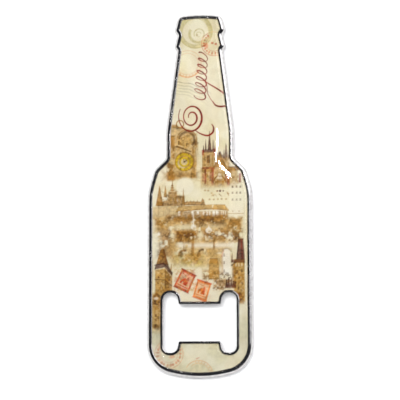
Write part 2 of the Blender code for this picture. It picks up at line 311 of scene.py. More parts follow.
class SolidBuilder:
    """Collects the walls of one closed solid and caps them."""

    def __init__(self) -> None:
        """Starts with no walls."""
        self.bm = bmesh.new()
        self.low: list[list[bmesh.types.BMVert]] = []
        self.high: list[list[bmesh.types.BMVert]] = []

    def wall(self, rungs: Sequence[Rung]) -> tuple[list, list]:
        """Adds a wall that climbs through rungs with the same number of points.

        Args:
            rungs: the rungs, from the lowest up.

        Returns:
            The wall's first and last rings of vertices.
        """
        rings = [[self.bm.verts.new((p.x, p.y, z)) for p in points] for points, z in rungs]
        for below, above in zip(rings, rings[1:]):
            for i in range(len(below)):
                self.bm.faces.new((below[i - 1], below[i], above[i], above[i - 1]))
        return rings[0], rings[-1]

    def through(self, rungs: Sequence[Rung]) -> None:
        """Adds a wall that reaches both the lower and the upper face."""
        first, last = self.wall(rungs)
        self.low.append(first)
        self.high.append(last)

    def pocket(self, rungs: Sequence[Rung]) -> None:
        """Adds a blind pocket in the lower face."""
        first, last = self.wall(rungs)
        self.low.append(first)
        self.bm.faces.new(last)

    def _cap(self, rings: Sequence[list[bmesh.types.BMVert]]) -> None:
        """Fills the flat face between these rings."""
        edges = [self.bm.edges.get((ring[i - 1], ring[i])) for ring in rings for i in range(len(ring))]
        bmesh.ops.triangle_fill(self.bm, use_beauty=True, use_dissolve=False, edges=edges)

    def finish(self, name: str) -> bpy.types.Object:
        """Caps the solid and puts it in the scene.

        Args:
            name: the object's name.

        Returns:
            The new object.
        """
        self._cap(self.low)
        self._cap(self.high)
        bmesh.ops.recalc_face_normals(self.bm, faces=self.bm.faces)
        mesh = bpy.data.meshes.new(name)
        self.bm.to_mesh(mesh)
        self.bm.free()
        return show(mesh, name)


def show(mesh: bpy.types.Mesh, name: str) -> bpy.types.Object:
    """Smooths a mesh up to its sharp edges and puts it in the scene as an object."""
    mesh.shade_smooth()
    mesh.set_sharp_from_angle(angle=SMOOTH_ANGLE)
    made = bpy.data.objects.new(name, mesh)
    bpy.context.scene.collection.objects.link(made)
    return made


def wear_material(piece: bpy.types.Object, material: bpy.types.Material) -> None:
    """Makes a material the only one on a piece."""
    piece.data.materials.clear()
    piece.data.materials.append(material)


def dock(piece: bpy.types.Object, slot: str, *nodes: str) -> None:
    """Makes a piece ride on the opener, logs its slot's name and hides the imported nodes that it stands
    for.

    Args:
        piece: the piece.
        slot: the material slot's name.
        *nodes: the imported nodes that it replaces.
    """
    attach(piece, BODY)
    if nodes:
        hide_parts(*nodes)
    LOG.info("%s: %d faces, slot %s, stands for %s", piece.name, len(piece.data.polygons), slot, nodes)


def segment_distance(x: np.ndarray, y: np.ndarray, start: Place, end: Place) -> np.ndarray:
    """Distance of places from a straight piece.

    Args:
        x: places across.
        y: places along.
        start: one end of the piece.
        end: its other end.

    Returns:
        Each place's distance.
    """
    dx, dy = end[0] - start[0], end[1] - start[1]
    along = np.clip(((x - start[0]) * dx + (y - start[1]) * dy) / max(dx * dx + dy * dy, TINY), 0, 1)
    return np.hypot(x - start[0] - along * dx, y - start[1] - along * dy)


def ring_distance(ring: np.ndarray, x: np.ndarray, y: np.ndarray) -> np.ndarray:
    """Distance of places from the nearest edge of a closed ring.

    Args:
        ring: the ring's points.
        x: places across.
        y: places along.

    Returns:
        Each place's distance.
    """
    nearest = np.full(x.shape, np.inf)
    for start, end in zip(np.roll(ring, 1, axis=0), ring, strict=True):
        nearest = np.minimum(nearest, segment_distance(x, y, start, end))
    return nearest


def inside_ring(ring: np.ndarray, x: np.ndarray, y: np.ndarray) -> np.ndarray:
    """Whether places lie inside a closed ring, by the parity of its crossings.

    Args:
        ring: the ring's points.
        x: places across.
        y: places along.

    Returns:
        True for each place inside.
    """
    inside = np.zeros(x.shape, bool)
    for (x0, y0), (x1, y1) in zip(np.roll(ring, 1, axis=0), ring, strict=True):
        if y0 != y1:
            inside ^= ((y0 > y) != (y1 > y)) & (x < x0 + (x1 - x0) * (y - y0) / (y1 - y0))
    return inside


class Region:
    """The flat ground between an outer outline and the opening's outline."""

    def __init__(self, outer: Outline, hole: Outline) -> None:
        """Keeps both outlines and their points."""
        self.outer = outer
        self.hole = hole
        self.rings = [np.array([p.to_tuple() for p in o.points()]) for o in (outer, hole)]

    def holds(self, x: np.ndarray, y: np.ndarray) -> np.ndarray:
        """Whether points lie on the ground between the outlines."""
        return inside_ring(self.rings[0], x, y) & ~inside_ring(self.rings[1], x, y)

    def depth(self, x: np.ndarray, y: np.ndarray) -> np.ndarray:
        """Distance of points from the nearest outline, negative off the ground."""
        nearest = np.minimum(*(ring_distance(ring, x, y) for ring in self.rings))
        return np.where(self.holds(x, y), nearest, -nearest)

    def shrunk(self, distance: float) -> Region:
        """The ground that stays when both edges move in."""
        return Region(self.outer.inset(distance), self.hole.inset(-distance))


@dataclass
class Sheet:
    """A flat sheet of square cells, joined to the smooth rings of its edges by triangles."""

    points: np.ndarray
    faces: list[tuple[int, ...]]
    ring_starts: list[int]
    ring_sizes: list[int]
    region: Region

    @classmethod
    def cut(cls, region: Region, cell: float, margin: float = 0.45) -> Sheet:
        """Cuts a sheet to a region.

        Args:
            region: the ground to cover.
            cell: side of a cell.
            margin: share of a cell that stays free between the cells and the rings.

        Returns:
            The sheet.
        """
        low, high = region.rings[0].min(0), region.rings[0].max(0)
        xs = np.arange(low[0], high[0] + cell, cell)
        ys = np.arange(low[1], high[1] + cell, cell)
        grid_x, grid_y = np.meshgrid(xs, ys, indexing="ij")
        good = region.shrunk(margin * cell).holds(grid_x, grid_y)
        whole = good[:-1, :-1] & good[1:, :-1] & good[:-1, 1:] & good[1:, 1:]
        used = np.zeros(good.shape, bool)
        for i, j in ((0, 0), (1, 0), (0, 1), (1, 1)):
            used[i : i + whole.shape[0], j : j + whole.shape[1]] |= whole
        index = np.full(good.shape, -1)
        index[used] = np.arange(used.sum())
        ends = [index[:-1, :-1], index[1:, :-1], index[1:, 1:], index[:-1, 1:]]
        quads = np.stack([e[whole] for e in ends], axis=1)
        grid_points = np.stack([grid_x[used], grid_y[used]], axis=1)
        edges = np.concatenate([quads[:, [k, (k + 1) % 4]] for k in range(4)])
        _, first, count = np.unique(np.sort(edges, axis=1), axis=0, return_index=True, return_counts=True)
        rim = edges[first[count == 1]]
        points, starts, sizes = [grid_points], [], []
        links = [tuple(pair) for pair in rim.tolist()]
        total = len(grid_points)
        for ring in region.rings:
            starts.append(total)
            sizes.append(len(ring))
            links += loop_links(range(total, total + len(ring)))
            points.append(ring)
            total += len(ring)
        every = np.concatenate(points)

        def bare(centres: np.ndarray) -> np.ndarray:
            """Whether places lie on the ground, but on no cell."""
            i, j = np.floor((centres - low) / cell).astype(int).T
            i, j = np.clip(i, 0, whole.shape[0] - 1), np.clip(j, 0, whole.shape[1] - 1)
            return region.holds(centres[:, 0], centres[:, 1]) & ~whole[i, j]

        return cls(
            every, [*map(tuple, quads.tolist()), *_filled(every, links, bare)], starts, sizes, region,
        )


def loop_links(ring: Sequence[int]) -> list[tuple[int, int]]:
    """Pairs of neighbours in a closed ring of point numbers."""
    return [(ring[i], ring[(i + 1) % len(ring)]) for i in range(len(ring))]


def strip(above: Sequence[int], below: Sequence[int]) -> list[tuple[int, ...]]:
    """Faces between two closed rings of point numbers, which have the same size."""
    pairs = zip(loop_links(above), loop_links(below), strict=True)
    return [(a, b, d, c) for (a, b), (c, d) in pairs]


def _filled(
    points: np.ndarray, links: Sequence[tuple[int, int]], wanted: Callable[[np.ndarray], np.ndarray]
) -> list[tuple[int, ...]]:
    """Triangles of the ground between linked rings.

    Args:
        points: all points, two numbers each.
        links: pairs of point numbers that make up the rings.
        wanted: tells which triangles to keep, from their centres.

    Returns:
        Each triangle's point numbers, anticlockwise.
    """
    numbers = sorted({end for link in links for end in link})
    place = {number: k for k, number in enumerate(numbers)}
    spots = [Vector(points[number] / MM) for number in numbers]
    edges = [(place[a], place[b]) for a, b in links]
    _, _, faces, origins, _, _ = delaunay_2d_cdt(spots, edges, [], 0, MERGE_REACH)
    rings = np.array([[numbers[origins[k][0]] for k in face] for face in faces])
    areas = _areas(points / MM, rings)
    kept = []
    for plot in _plots(rings.tolist(), {frozenset(link) for link in links}):
        largest = max(plot, key=areas.__getitem__)
        if areas[plot].sum() > LEAST_AREA and wanted(points[rings[largest]].mean(0, keepdims=True))[0]:
            kept += plot
    return [tuple(ring) for ring in rings[kept].tolist()]


def _areas(points: np.ndarray, rings: np.ndarray) -> np.ndarray:
    """Area of each triangle."""
    a, b, c = (points[rings[:, k]] for k in range(3))
    along, across = b - a, c - a
    return (along[:, 0] * across[:, 1] - along[:, 1] * across[:, 0]) / 2


def _plots(rings: list[list[int]], fences: set[frozenset[int]]) -> list[list[int]]:
    """Groups triangles that no fence parts.

    Args:
        rings: each triangle's point numbers.
        fences: the edges that part neighbours.

    Returns:
        The numbers of each group's triangles.
    """
    owner = list(range(len(rings)))

    def head(k: int) -> int:
        """Number that stands for a triangle's group."""
        while owner[k] != k:
            owner[k] = owner[owner[k]]
            k = owner[k]
        return k

    beside: dict[frozenset[int], int] = {}
    for k, ring in enumerate(rings):
        for i in range(3):
            edge = frozenset((ring[i - 1], ring[i]))
            if edge in fences:
                continue
            if edge in beside:
                owner[head(k)] = head(beside[edge])
            beside[edge] = k
    groups: dict[int, list[int]] = {}
    for k in range(len(rings)):
        groups.setdefault(head(k), []).append(k)
    return list(groups.values())


def closed_solid(name: str, points: np.ndarray, faces: Sequence[tuple[int, ...]]) -> bpy.types.Object:
    """Puts a closed solid in the scene, with its faces turned outwards.

    Args:
        name: the object's name.
        points: its vertices.
        faces: each face's vertex numbers.

    Returns:
        The new object.
    """
    mesh = bpy.data.meshes.new(name)
    mesh.from_pydata(points.tolist(), [], faces)
    bm = bmesh.new()
    bm.from_mesh(mesh)
    bmesh.ops.recalc_face_normals(bm, faces=bm.faces)
    bm.to_mesh(mesh)
    bm.free()
    return show(mesh, name)


def sheet_solid(name: str, sheet: Sheet, tops: np.ndarray, bottom: float) -> bpy.types.Object:
    """Makes a closed solid under a sheet.

    Args:
        name: the object's name.
        sheet: the sheet that is its upper face.
        tops: the height of each of the sheet's points.
        bottom: the height of the flat lower face.

    Returns:
        The new object. Its first vertices are the sheet's points.
    """
    lower, links, walls = [], [], []
    base = len(sheet.points)
    for start, size in zip(sheet.ring_starts, sheet.ring_sizes, strict=True):
        lower.append(np.column_stack([sheet.points[start : start + size], np.full(size, bottom)]))
        foot = range(base, base + size)
        links += loop_links(foot)
        walls += strip(range(start, start + size), foot)
        base += size
    points = np.concatenate([np.column_stack([sheet.points, tops]), *lower])
    under = _filled(points[:, :2], links, lambda centres: sheet.region.holds(*centres.T))
    under = [tuple(reversed(face)) for face in under]
    return closed_solid(name, points, [*sheet.faces, *walls, *under])


# ------------------------------------------------------------
# Shader work
# ------------------------------------------------------------


class Graph:
    """Adds nodes to a tree and wires them by the names of their sockets."""

    def __init__(self, tree: bpy.types.NodeTree) -> None:
        """Keeps the tree."""
        self.tree = tree

    def add(self, kind: str, inputs: dict | None = None, **settings: object) -> bpy.types.Node:
        """Adds a node.

        Args:
            kind: the node's type, without the ShaderNode at its start.
            inputs: a value or another node's output for each input, by name or number.
            **settings: the node's own properties.

        Returns:
            The new node.
        """
        node = self.tree.nodes.new("ShaderNode" + kind)
        for key, value in settings.items():
            setattr(node, key, value)
        self.wire(node, inputs or {})
        return node

    def wire(self, node: bpy.types.Node, inputs: dict) -> None:
        """Gives a node's inputs their values or other nodes' outputs.

        Args:
            node: the node.
            inputs: a value or another node's output for each input, by name or number.
        """
        for key, value in inputs.items():
            if isinstance(value, Socket):
                self.tree.links.new(value, node.inputs[key])
            else:
                node.inputs[key].default_value = value

    def place(self) -> Socket:
        """Each spot's place in the object's own frame."""
        return self.add("TexCoord").outputs["Object"]

    def bump(self, height: Socket, strength: float, distance: float) -> Socket:
        """Normal of a Bump node over this height."""
        return self.add("Bump", {"Height": height, "Strength": strength, "Distance": distance}).outputs[0]

    def math(self, operation: str, *values: Socket | float, clamp: bool = False) -> Socket:
        """Output of a Math node on these values."""
        return self.add("Math", dict(enumerate(values)), operation=operation, use_clamp=clamp).outputs[0]

    def noise(self, scale: Socket | float, detail: float = 2.0, vector: Socket | None = None) -> Socket:
        """Value of a noise that has this many cells to the metre, unless a vector is given for it."""
        inputs = {"Vector": vector or self.place(), "Scale": scale, "Detail": detail}
        return self.add("TexNoise", inputs).outputs[0]

    def ramp(
        self, value: Socket, low: float, high: float, start: float = 0.0, end: float = 1.0,
    ) -> Socket:
        """Maps a value smoothly from one range to another.

        Args:
            value: the value.
            low: where its range starts.
            high: where its range ends.
            start: what the low end becomes.
            end: what the high end becomes.

        Returns:
            The mapped value.
        """
        inputs = {"Value": value, 1: low, 2: high, 3: start, 4: end}
        return self.add("MapRange", inputs, interpolation_type="SMOOTHSTEP").outputs[0]

    def mix(
        self, factor: Socket | float, a: Socket | Color, b: Socket | Color, blend: str = "MIX",
    ) -> Socket:
        """Mixes two colours.

        Args:
            factor: the second colour's share.
            a: the first colour.
            b: the second colour.
            blend: how they mix.

        Returns:
            The mixed colour.
        """
        sides = [(*side, 1.0) if isinstance(side, tuple) else side for side in (a, b)]
        inputs = {0: factor, 6: sides[0], 7: sides[1]}
        return self.add("Mix", inputs, data_type="RGBA", blend_type=blend).outputs[2]


class Effect(Enum):
    """Shader groups that several materials share."""

    GRAIN = "grain"
    TARNISH = "tarnish"
    FIBRE = "fibre"


class EffectShelf:
    """Builds each shared shader group once, when it is first asked for."""

    def __init__(self) -> None:
        """Starts with no groups."""
        self.built: dict[Effect, bpy.types.NodeTree] = {}
        self.makers: dict[Effect, Callable[[bpy.types.NodeTree], None]] = {
            Effect.GRAIN: self._grain,
            Effect.TARNISH: self._tarnish,
            Effect.FIBRE: self._fibre,
        }

    def place(self, graph: Graph, effect: Effect, **values: float) -> bpy.types.Node:
        """Places a group in a material.

        Args:
            graph: the material's graph.
            effect: the group to place.
            **values: its named inputs.

        Returns:
            The group node.
        """
        if effect not in self.built:
            tree = bpy.data.node_groups.new(effect.value, "ShaderNodeTree")
            self.makers[effect](tree)
            self.built[effect] = tree
        node = graph.add("Group")
        node.node_tree = self.built[effect]
        for name, value in values.items():
            node.inputs[name].default_value = value
        return node

    @staticmethod
    def _opened(
        tree: bpy.types.NodeTree, inputs: dict[str, float], outputs: Sequence[str]
    ) -> tuple[Graph, bpy.types.NodeOutputs, bpy.types.Node]:
        """Gives a group its named inputs and outputs.

        Args:
            tree: the group.
            inputs: each input's name and default.
            outputs: the outputs' names.

        Returns:
            The group's graph, the sockets that its inputs come from, and its output node.
        """
        for name, default in inputs.items():
            made = tree.interface.new_socket(name=name, in_out="INPUT", socket_type="NodeSocketFloat")
            made.default_value = default
        for name in outputs:
            tree.interface.new_socket(name=name, in_out="OUTPUT", socket_type="NodeSocketFloat")
        into, out = tree.nodes.new("NodeGroupInput"), tree.nodes.new("NodeGroupOutput")
        return Graph(tree), into.outputs, out

    def _grain(self, tree: bpy.types.NodeTree) -> None:
        """Orange peel and fine pits, as a height and as a mask of the pits."""
        inputs = {"Cells": 1500.0, "Pit_Cells": 2500.0, "Pits": 0.4}
        graph, into, out = self._opened(tree, inputs, ("Height", "Pitted"))
        peel = graph.noise(into["Cells"], 3.0)
        cells = graph.add("TexVoronoi", {"Vector": graph.place(), "Scale": into["Pit_Cells"]})
        pits = graph.ramp(cells.outputs["Distance"], 0.05, 0.3, 1.0, 0.0)
        sparse = graph.ramp(graph.noise(into["Cells"], 2.0), 0.45, 0.6)
        pitted = graph.math("MULTIPLY", graph.math("MULTIPLY", pits, sparse), into["Pits"])
        graph.wire(out, {"Height": graph.math("SUBTRACT", peel, pitted), "Pitted": pitted})

    def _tarnish(self, tree: bpy.types.NodeTree) -> None:
        """Broad patches, finer blotches and thin scratches, each as a mask."""
        inputs = {"Patch_Cells": 60.0, "Blotch_Cells": 500.0, "Scratch_Cells": 180.0}
        graph, into, out = self._opened(tree, inputs, ("Patches", "Blotches", "Scratches"))
        patches = graph.ramp(graph.noise(into["Patch_Cells"], 3.0), 0.38, 0.66)
        blotches = graph.ramp(graph.noise(into["Blotch_Cells"], 4.0), 0.4, 0.65)
        drawn = {"Vector": graph.place(), "Rotation": (0.3, 0.2, 0.7), "Scale": (1.0, 14.0, 1.0)}
        lines = graph.noise(into["Scratch_Cells"], 1.0, graph.add("Mapping", drawn).outputs[0])
        off_line = graph.math("ABSOLUTE", graph.math("SUBTRACT", lines, 0.5))
        thin = graph.ramp(off_line, 0.0, 0.012, 1.0, 0.0)
        scratches = graph.math("MULTIPLY", thin, patches)
        graph.wire(out, {"Patches": patches, "Blotches": blotches, "Scratches": scratches})

    def _fibre(self, tree: bpy.types.NodeTree) -> None:
        """Paper fibres and slow unevenness, as two masks about one half."""
        inputs = {"Fibre_Cells": 1800.0, "Cloud_Cells": 90.0}
        graph, into, out = self._opened(tree, inputs, ("Fibres", "Clouds"))
        drawn = {"Vector": graph.place(), "Rotation": (0.0, 0.0, 0.5), "Scale": (1.0, 3.0, 1.0)}
        fibres = graph.noise(into["Fibre_Cells"], 4.0, graph.add("Mapping", drawn).outputs[0])
        graph.wire(out, {"Fibres": fibres, "Clouds": graph.noise(into["Cloud_Cells"], 3.0)})


EFFECTS = EffectShelf()


def new_material(name: str) -> tuple[bpy.types.Material, Graph, bpy.types.Node]:
    """A fresh material.

    Args:
        name: its name.

    Returns:
        The material, its graph and its Principled node.
    """
    material = bpy.data.materials.new(name)
    material.use_nodes = True
    return material, Graph(material.node_tree), material.node_tree.nodes["Principled BSDF"]


# ------------------------------------------------------------
# Finishes
# ------------------------------------------------------------


@dataclass(frozen=True)
class Plating:
    """Bright nickel over a casting: orange peel, a few pits, and tarnish in patches."""

    name: str = "plating"
    bright: Color = (0.62, 0.61, 0.6)
    tarnished: Color = (0.36, 0.34, 0.33)
    smooth: float = 0.12
    dull: float = 0.3
    peel: float = 0.24
    peel_depth: float = 0.05 * MM

    def material(self) -> bpy.types.Material:
        """Builds the material."""
        material, graph, shader = new_material(self.name)
        grain = EFFECTS.place(graph, Effect.GRAIN, Cells=1900.0, Pit_Cells=2400.0, Pits=0.7)
        tarnish = EFFECTS.place(
            graph, Effect.TARNISH, Patch_Cells=70.0, Blotch_Cells=900.0, Scratch_Cells=240.0,
        )
        spread = graph.math("MULTIPLY", tarnish.outputs["Blotches"], 0.55)
        shade = graph.math("MAXIMUM", spread, graph.math("MULTIPLY", grain.outputs["Pitted"], 0.8))
        color = graph.mix(shade, self.bright, self.tarnished)
        rough = graph.math("MAXIMUM", tarnish.outputs["Patches"], tarnish.outputs["Scratches"])
        inputs = {
            "Base Color": color,
            "Roughness": graph.ramp(rough, 0.0, 1.0, self.smooth, self.dull),
            "Normal": graph.bump(grain.outputs["Height"], self.peel, self.peel_depth),
            "Metallic": 1.0,
        }
        graph.wire(shader, inputs)
        return material


@dataclass(frozen=True)
class ClearResin:
    """Water-clear casting resin with a faintly wavy skin and a little handling haze."""

    name: str = "resin"
    tint: Color = (0.985, 0.98, 0.965)
    clear: float = 0.015
    hazy: float = 0.06
    wave: float = 0.08
    wave_cells: float = 160.0
    wave_depth: float = 0.04 * MM
    refraction: float = 1.5

    def material(self) -> bpy.types.Material:
        """Builds the material. Light that falls on the print goes straight through it."""
        material, graph, shader = new_material(self.name)
        tarnish = EFFECTS.place(
            graph, Effect.TARNISH, Patch_Cells=45.0, Blotch_Cells=400.0, Scratch_Cells=120.0,
        )
        haze = graph.math("MULTIPLY", tarnish.outputs["Patches"], tarnish.outputs["Blotches"])
        inputs = {
            "Base Color": (*self.tint, 1.0),
            "Transmission Weight": 1.0,
            "IOR": self.refraction,
            "Roughness": graph.ramp(haze, 0.0, 1.0, self.clear, self.hazy),
            "Normal": graph.bump(graph.noise(self.wave_cells), self.wave, self.wave_depth),
        }
        graph.wire(shader, inputs)
        through = graph.add("BsdfTransparent", {"Color": (*self.tint, 1.0)})
        shadow = graph.add("LightPath").outputs["Is Shadow Ray"]
        both = graph.add("MixShader", {0: shadow, 1: shader.outputs[0], 2: through.outputs[0]})
        output = next(node for node in graph.tree.nodes if node.type == "OUTPUT_MATERIAL")
        graph.wire(output, {"Surface": both.outputs[0]})
        return material


@dataclass(frozen=True)
class PrintedPaper:
    """Coated paper under its inks, whose colours stand in the piece's artwork attribute."""

    name: str = "printed_paper"
    attribute: str = "artwork"
    fibre: float = 0.1
    clouding: float = 0.1
    dots: float = 0.1
    dot_cells: float = 3200.0
    tooth: float = 0.15
    tooth_depth: float = 0.01 * MM

    def material(self) -> bpy.types.Material:
        """Builds the material."""
        material, graph, shader = new_material(self.name)
        inks = graph.add("Attribute", attribute_name=self.attribute).outputs["Color"]
        paper = EFFECTS.place(graph, Effect.FIBRE, Fibre_Cells=1700.0, Cloud_Cells=130.0)
        cells = {"Vector": graph.place(), "Scale": self.dot_cells, "Randomness": 0.25}
        screen = graph.add("TexVoronoi", cells).outputs["Distance"]
        dots = graph.ramp(screen, 0.15, 0.55, 1 - self.dots, 1.0)
        fibres = graph.ramp(paper.outputs["Fibres"], 0.3, 0.7, 1 - self.fibre, 1.0)
        clouds = graph.ramp(paper.outputs["Clouds"], 0.3, 0.7, 1 - self.clouding, 1.0)
        shade = graph.math("MULTIPLY", graph.math("MULTIPLY", dots, fibres), clouds)
        grey = graph.add("CombineColor", {0: shade, 1: shade, 2: shade}).outputs[0]
        inputs = {
            "Base Color": graph.mix(1.0, inks, grey, "MULTIPLY"),
            "Roughness": graph.ramp(paper.outputs["Fibres"], 0.3, 0.7, 0.5, 0.65),
            "Normal": graph.bump(paper.outputs["Fibres"], self.tooth, self.tooth_depth),
        }
        graph.wire(shader, inputs)
        return material


@dataclass(frozen=True)
class MagnetMetal:
    """Nickel-plated sintered magnet, duller at its rubbed face."""

    name: str = "magnet_metal"
    bright: Color = (0.55, 0.54, 0.52)
    rubbed: Color = (0.3, 0.3, 0.3)
    smooth: float = 0.28
    dull: float = 0.45
    peel: float = 0.25
    peel_depth: float = 0.03 * MM

    def material(self) -> bpy.types.Material:
        """Builds the material."""
        material, graph, shader = new_material(self.name)
        grain = EFFECTS.place(graph, Effect.GRAIN, Cells=3000.0, Pit_Cells=3600.0, Pits=0.9)
        tarnish = EFFECTS.place(
            graph, Effect.TARNISH, Patch_Cells=210.0, Blotch_Cells=1200.0, Scratch_Cells=500.0,
        )
        worn = graph.math("MAXIMUM", tarnish.outputs["Blotches"], tarnish.outputs["Scratches"])
        inputs = {
            "Base Color": graph.mix(worn, self.bright, self.rubbed),
            "Roughness": graph.ramp(worn, 0.0, 1.0, self.smooth, self.dull),
            "Normal": graph.bump(grain.outputs["Height"], self.peel, self.peel_depth),
            "Metallic": 1.0,
        }
        graph.wire(shader, inputs)
        return material


@dataclass(frozen=True)
class MilkyLayer:
    """Adhesive film or set glue: milky, with trapped unevenness."""

    name: str
    pale: Color
    deep: Color
    cells: float = 400.0

    def material(self) -> bpy.types.Material:
        """Builds the material."""
        material, graph, shader = new_material(self.name)
        paper = EFFECTS.place(graph, Effect.FIBRE, Fibre_Cells=self.cells, Cloud_Cells=self.cells / 5)
        mask = graph.ramp(paper.outputs["Clouds"], 0.35, 0.65)
        rough = graph.ramp(paper.outputs["Fibres"], 0.3, 0.7, 0.3, 0.5)
        graph.wire(shader, {"Base Color": graph.mix(mask, self.pale, self.deep), "Roughness": rough})
        return material


# ------------------------------------------------------------
# Pieces
# ------------------------------------------------------------


@dataclass(frozen=True)
class BeadShape:
    """A raised bead: its width, how far in its crest lies, and how far its outer foot is below that."""

    width: float
    crest: float
    foot: float
    inner_drop: float = 0.4 * MM
    flatness: float = 1.25
    outer_steps: int = 12
    inner_steps: int = 5

    def section(self, top: float) -> list[tuple[float, float]]:
        """Points of the bead's rounded section.

        Args:
            top: the crest's height.

        Returns:
            How far in each point lies, and its height, from the outer foot inwards.
        """
        found = []
        for step in range(self.outer_steps + 1):
            angle = math.pi / 2 * step / self.outer_steps
            across = self.crest * (1 - abs(math.cos(angle)) ** self.flatness)
            found.append((across, top - self.foot * (1 - math.sin(angle) ** self.flatness)))
        for step in range(1, self.inner_steps + 1):
            angle = math.pi / 2 * step / self.inner_steps
            across = (self.width - self.crest) * math.sin(angle)
            found.append((self.crest + across, top - self.inner_drop * (1 - math.cos(angle))))
        return found


OUTER_BEAD = BeadShape(2.2 * MM, 1.5 * MM, 1.9 * MM)
OPENING_BEAD = BeadShape(1.2 * MM, 0.62 * MM, 0.7 * MM, flatness=0.7)


@dataclass
class PlatedBody:
    """The casting: plate, beads, the tray between them and the magnets' sockets."""

    outer: Outline
    hole: Outline
    top: float
    finish: Plating = field(default_factory=Plating)
    back_round: float = 0.35 * MM
    back_steps: int = 4
    seam: float = 0.04 * MM
    seam_height: float = 0.8 * MM
    tray_depth: float = 1.1 * MM
    tray_fillet: float = 0.12 * MM
    socket_depth: float = 1.4 * MM
    socket_gap: float = 0.15 * MM
    socket_break: float = 0.1 * MM
    socket_sides: int = 96

    def _section(self, bead: BeadShape) -> list[tuple[float, float]]:
        """Points of a wall's section, from the back's edge over the bead to the tray's floor."""
        found = []
        for step in range(self.back_steps + 1):
            angle = math.pi / 2 * step / self.back_steps
            inwards = self.back_round * (1 - math.sin(angle)) + self.seam
            found.append((inwards, self.back_round * (1 - math.cos(angle))))
        found += [
            (self.seam, self.seam_height),
            (0.0, self.seam_height + 1.5 * self.seam),
            (self.seam, self.seam_height + 3 * self.seam),
        ]
        found += [(max(inwards, self.seam), height) for inwards, height in bead.section(self.top)]
        floor = self.top - self.tray_depth
        found.append((bead.width, floor + self.tray_fillet))
        found.append((bead.width + self.tray_fillet, floor))
        return found

    def build(self, magnet_radius: float, magnet_centres: Sequence[float]) -> bpy.types.Object:
        """Builds and dresses the casting.

        Args:
            magnet_radius: the magnets' radius.
            magnet_centres: how far along the bottle each magnet lies.

        Returns:
            The piece.
        """
        solid = SolidBuilder()
        solid.through([(self.outer.inset(d).points(), z) for d, z in self._section(OUTER_BEAD)])
        solid.through([(self.hole.inset(-d).points(), z) for d, z in self._section(OPENING_BEAD)])
        mouth = magnet_radius + self.socket_gap
        for centre in magnet_centres:
            bore = circle(mouth, self.socket_sides, centre)
            edge = circle(mouth + self.socket_break, self.socket_sides, centre)
            solid.pocket([(edge, 0.0), (bore, self.socket_break), (bore, self.socket_depth)])
        piece = solid.finish("plated_body")
        wear_material(piece, self.finish.material())
        dock(piece, "plating", "opener_body")
        return piece


@dataclass
class ClearDome:
    """Resin poured over the print, which clings to the beads and swells towards the middle."""

    outer: Outline
    hole: Outline
    top: float
    print_top: float
    finish: ClearResin = field(default_factory=ClearResin)
    cling: float = 0.05 * MM
    dip: float = 0.02 * MM
    edge_height: float = 2.82 * MM
    round_reach: float = 0.42 * MM
    round_share: float = 0.62
    swell_reach: float = 3.4 * MM
    rungs: tuple[float, ...] = (0.0, 0.06, 0.14, 0.24, 0.36, 0.5, 0.68, 0.9, 1.15)
    cell: float = 0.45 * MM

    def _swell(self, depth: np.ndarray) -> np.ndarray:
        """Share of the full height that resin reaches this far in from one edge."""
        fast = self.round_share * np.exp(-depth / self.round_reach)
        return 1 - fast - (1 - self.round_share) * np.exp(-depth / self.swell_reach)

    def _height(self, from_outer: np.ndarray, from_hole: np.ndarray) -> np.ndarray:
        """Height of the resin's skin, from the distances to both edges."""
        rise = self.top - self.edge_height
        return self.edge_height + rise * self._swell(from_outer) * self._swell(from_hole)

    def build(self) -> bpy.types.Object:
        """Builds and dresses the dome."""
        outer = self.outer.inset(OUTER_BEAD.width - self.cling)
        hole = self.hole.inset(-(OPENING_BEAD.width - self.cling))
        edges = [Region(outer, outer).rings[0], Region(hole, hole).rings[0]]
        last = self.rungs[-1] * MM
        sheet = Sheet.cut(Region(outer.inset(last), hole.inset(-last)), self.cell)
        levels = [[], []]
        for rung in self.rungs[:-1]:
            levels[0].append(np.array([p.to_tuple() for p in outer.inset(rung * MM).points()]))
            levels[1].append(np.array([p.to_tuple() for p in hole.inset(-rung * MM).points()]))
        points, heights, faces = [sheet.points], [], list(sheet.faces)
        heights.append(self._height(*(ring_distance(edge, *sheet.points.T) for edge in edges)))
        total = len(sheet.points)
        bottoms = []
        for side, rings in enumerate(levels):
            start, size = sheet.ring_starts[side], sheet.ring_sizes[side]
            above = range(start, start + size)
            for ring in reversed(rings):
                points.append(ring)
                heights.append(self._height(*(ring_distance(edge, *ring.T) for edge in edges)))
                here = range(total, total + size)
                faces += strip(above, here)
                above = here
                total += size
            bottoms.append(above)
        links = []
        for above in bottoms:
            size = len(above)
            ring = np.concatenate(points)[above[0] : above[0] + size]
            points.append(ring)
            heights.append(np.full(size, self.print_top - self.dip))
            here = range(total, total + size)
            faces += strip(above, here)
            links += loop_links(here)
            total += size
        every = np.column_stack([np.concatenate(points), np.concatenate(heights)])
        ground = Region(outer, hole)
        under = _filled(every[:, :2], links, lambda centres: ground.holds(*centres.T))
        faces += [tuple(reversed(face)) for face in under]
        piece = closed_solid("clear_dome", every, faces)
        wear_material(piece, self.finish.material())
        dock(piece, "resin", "resin_dome")
        return piece


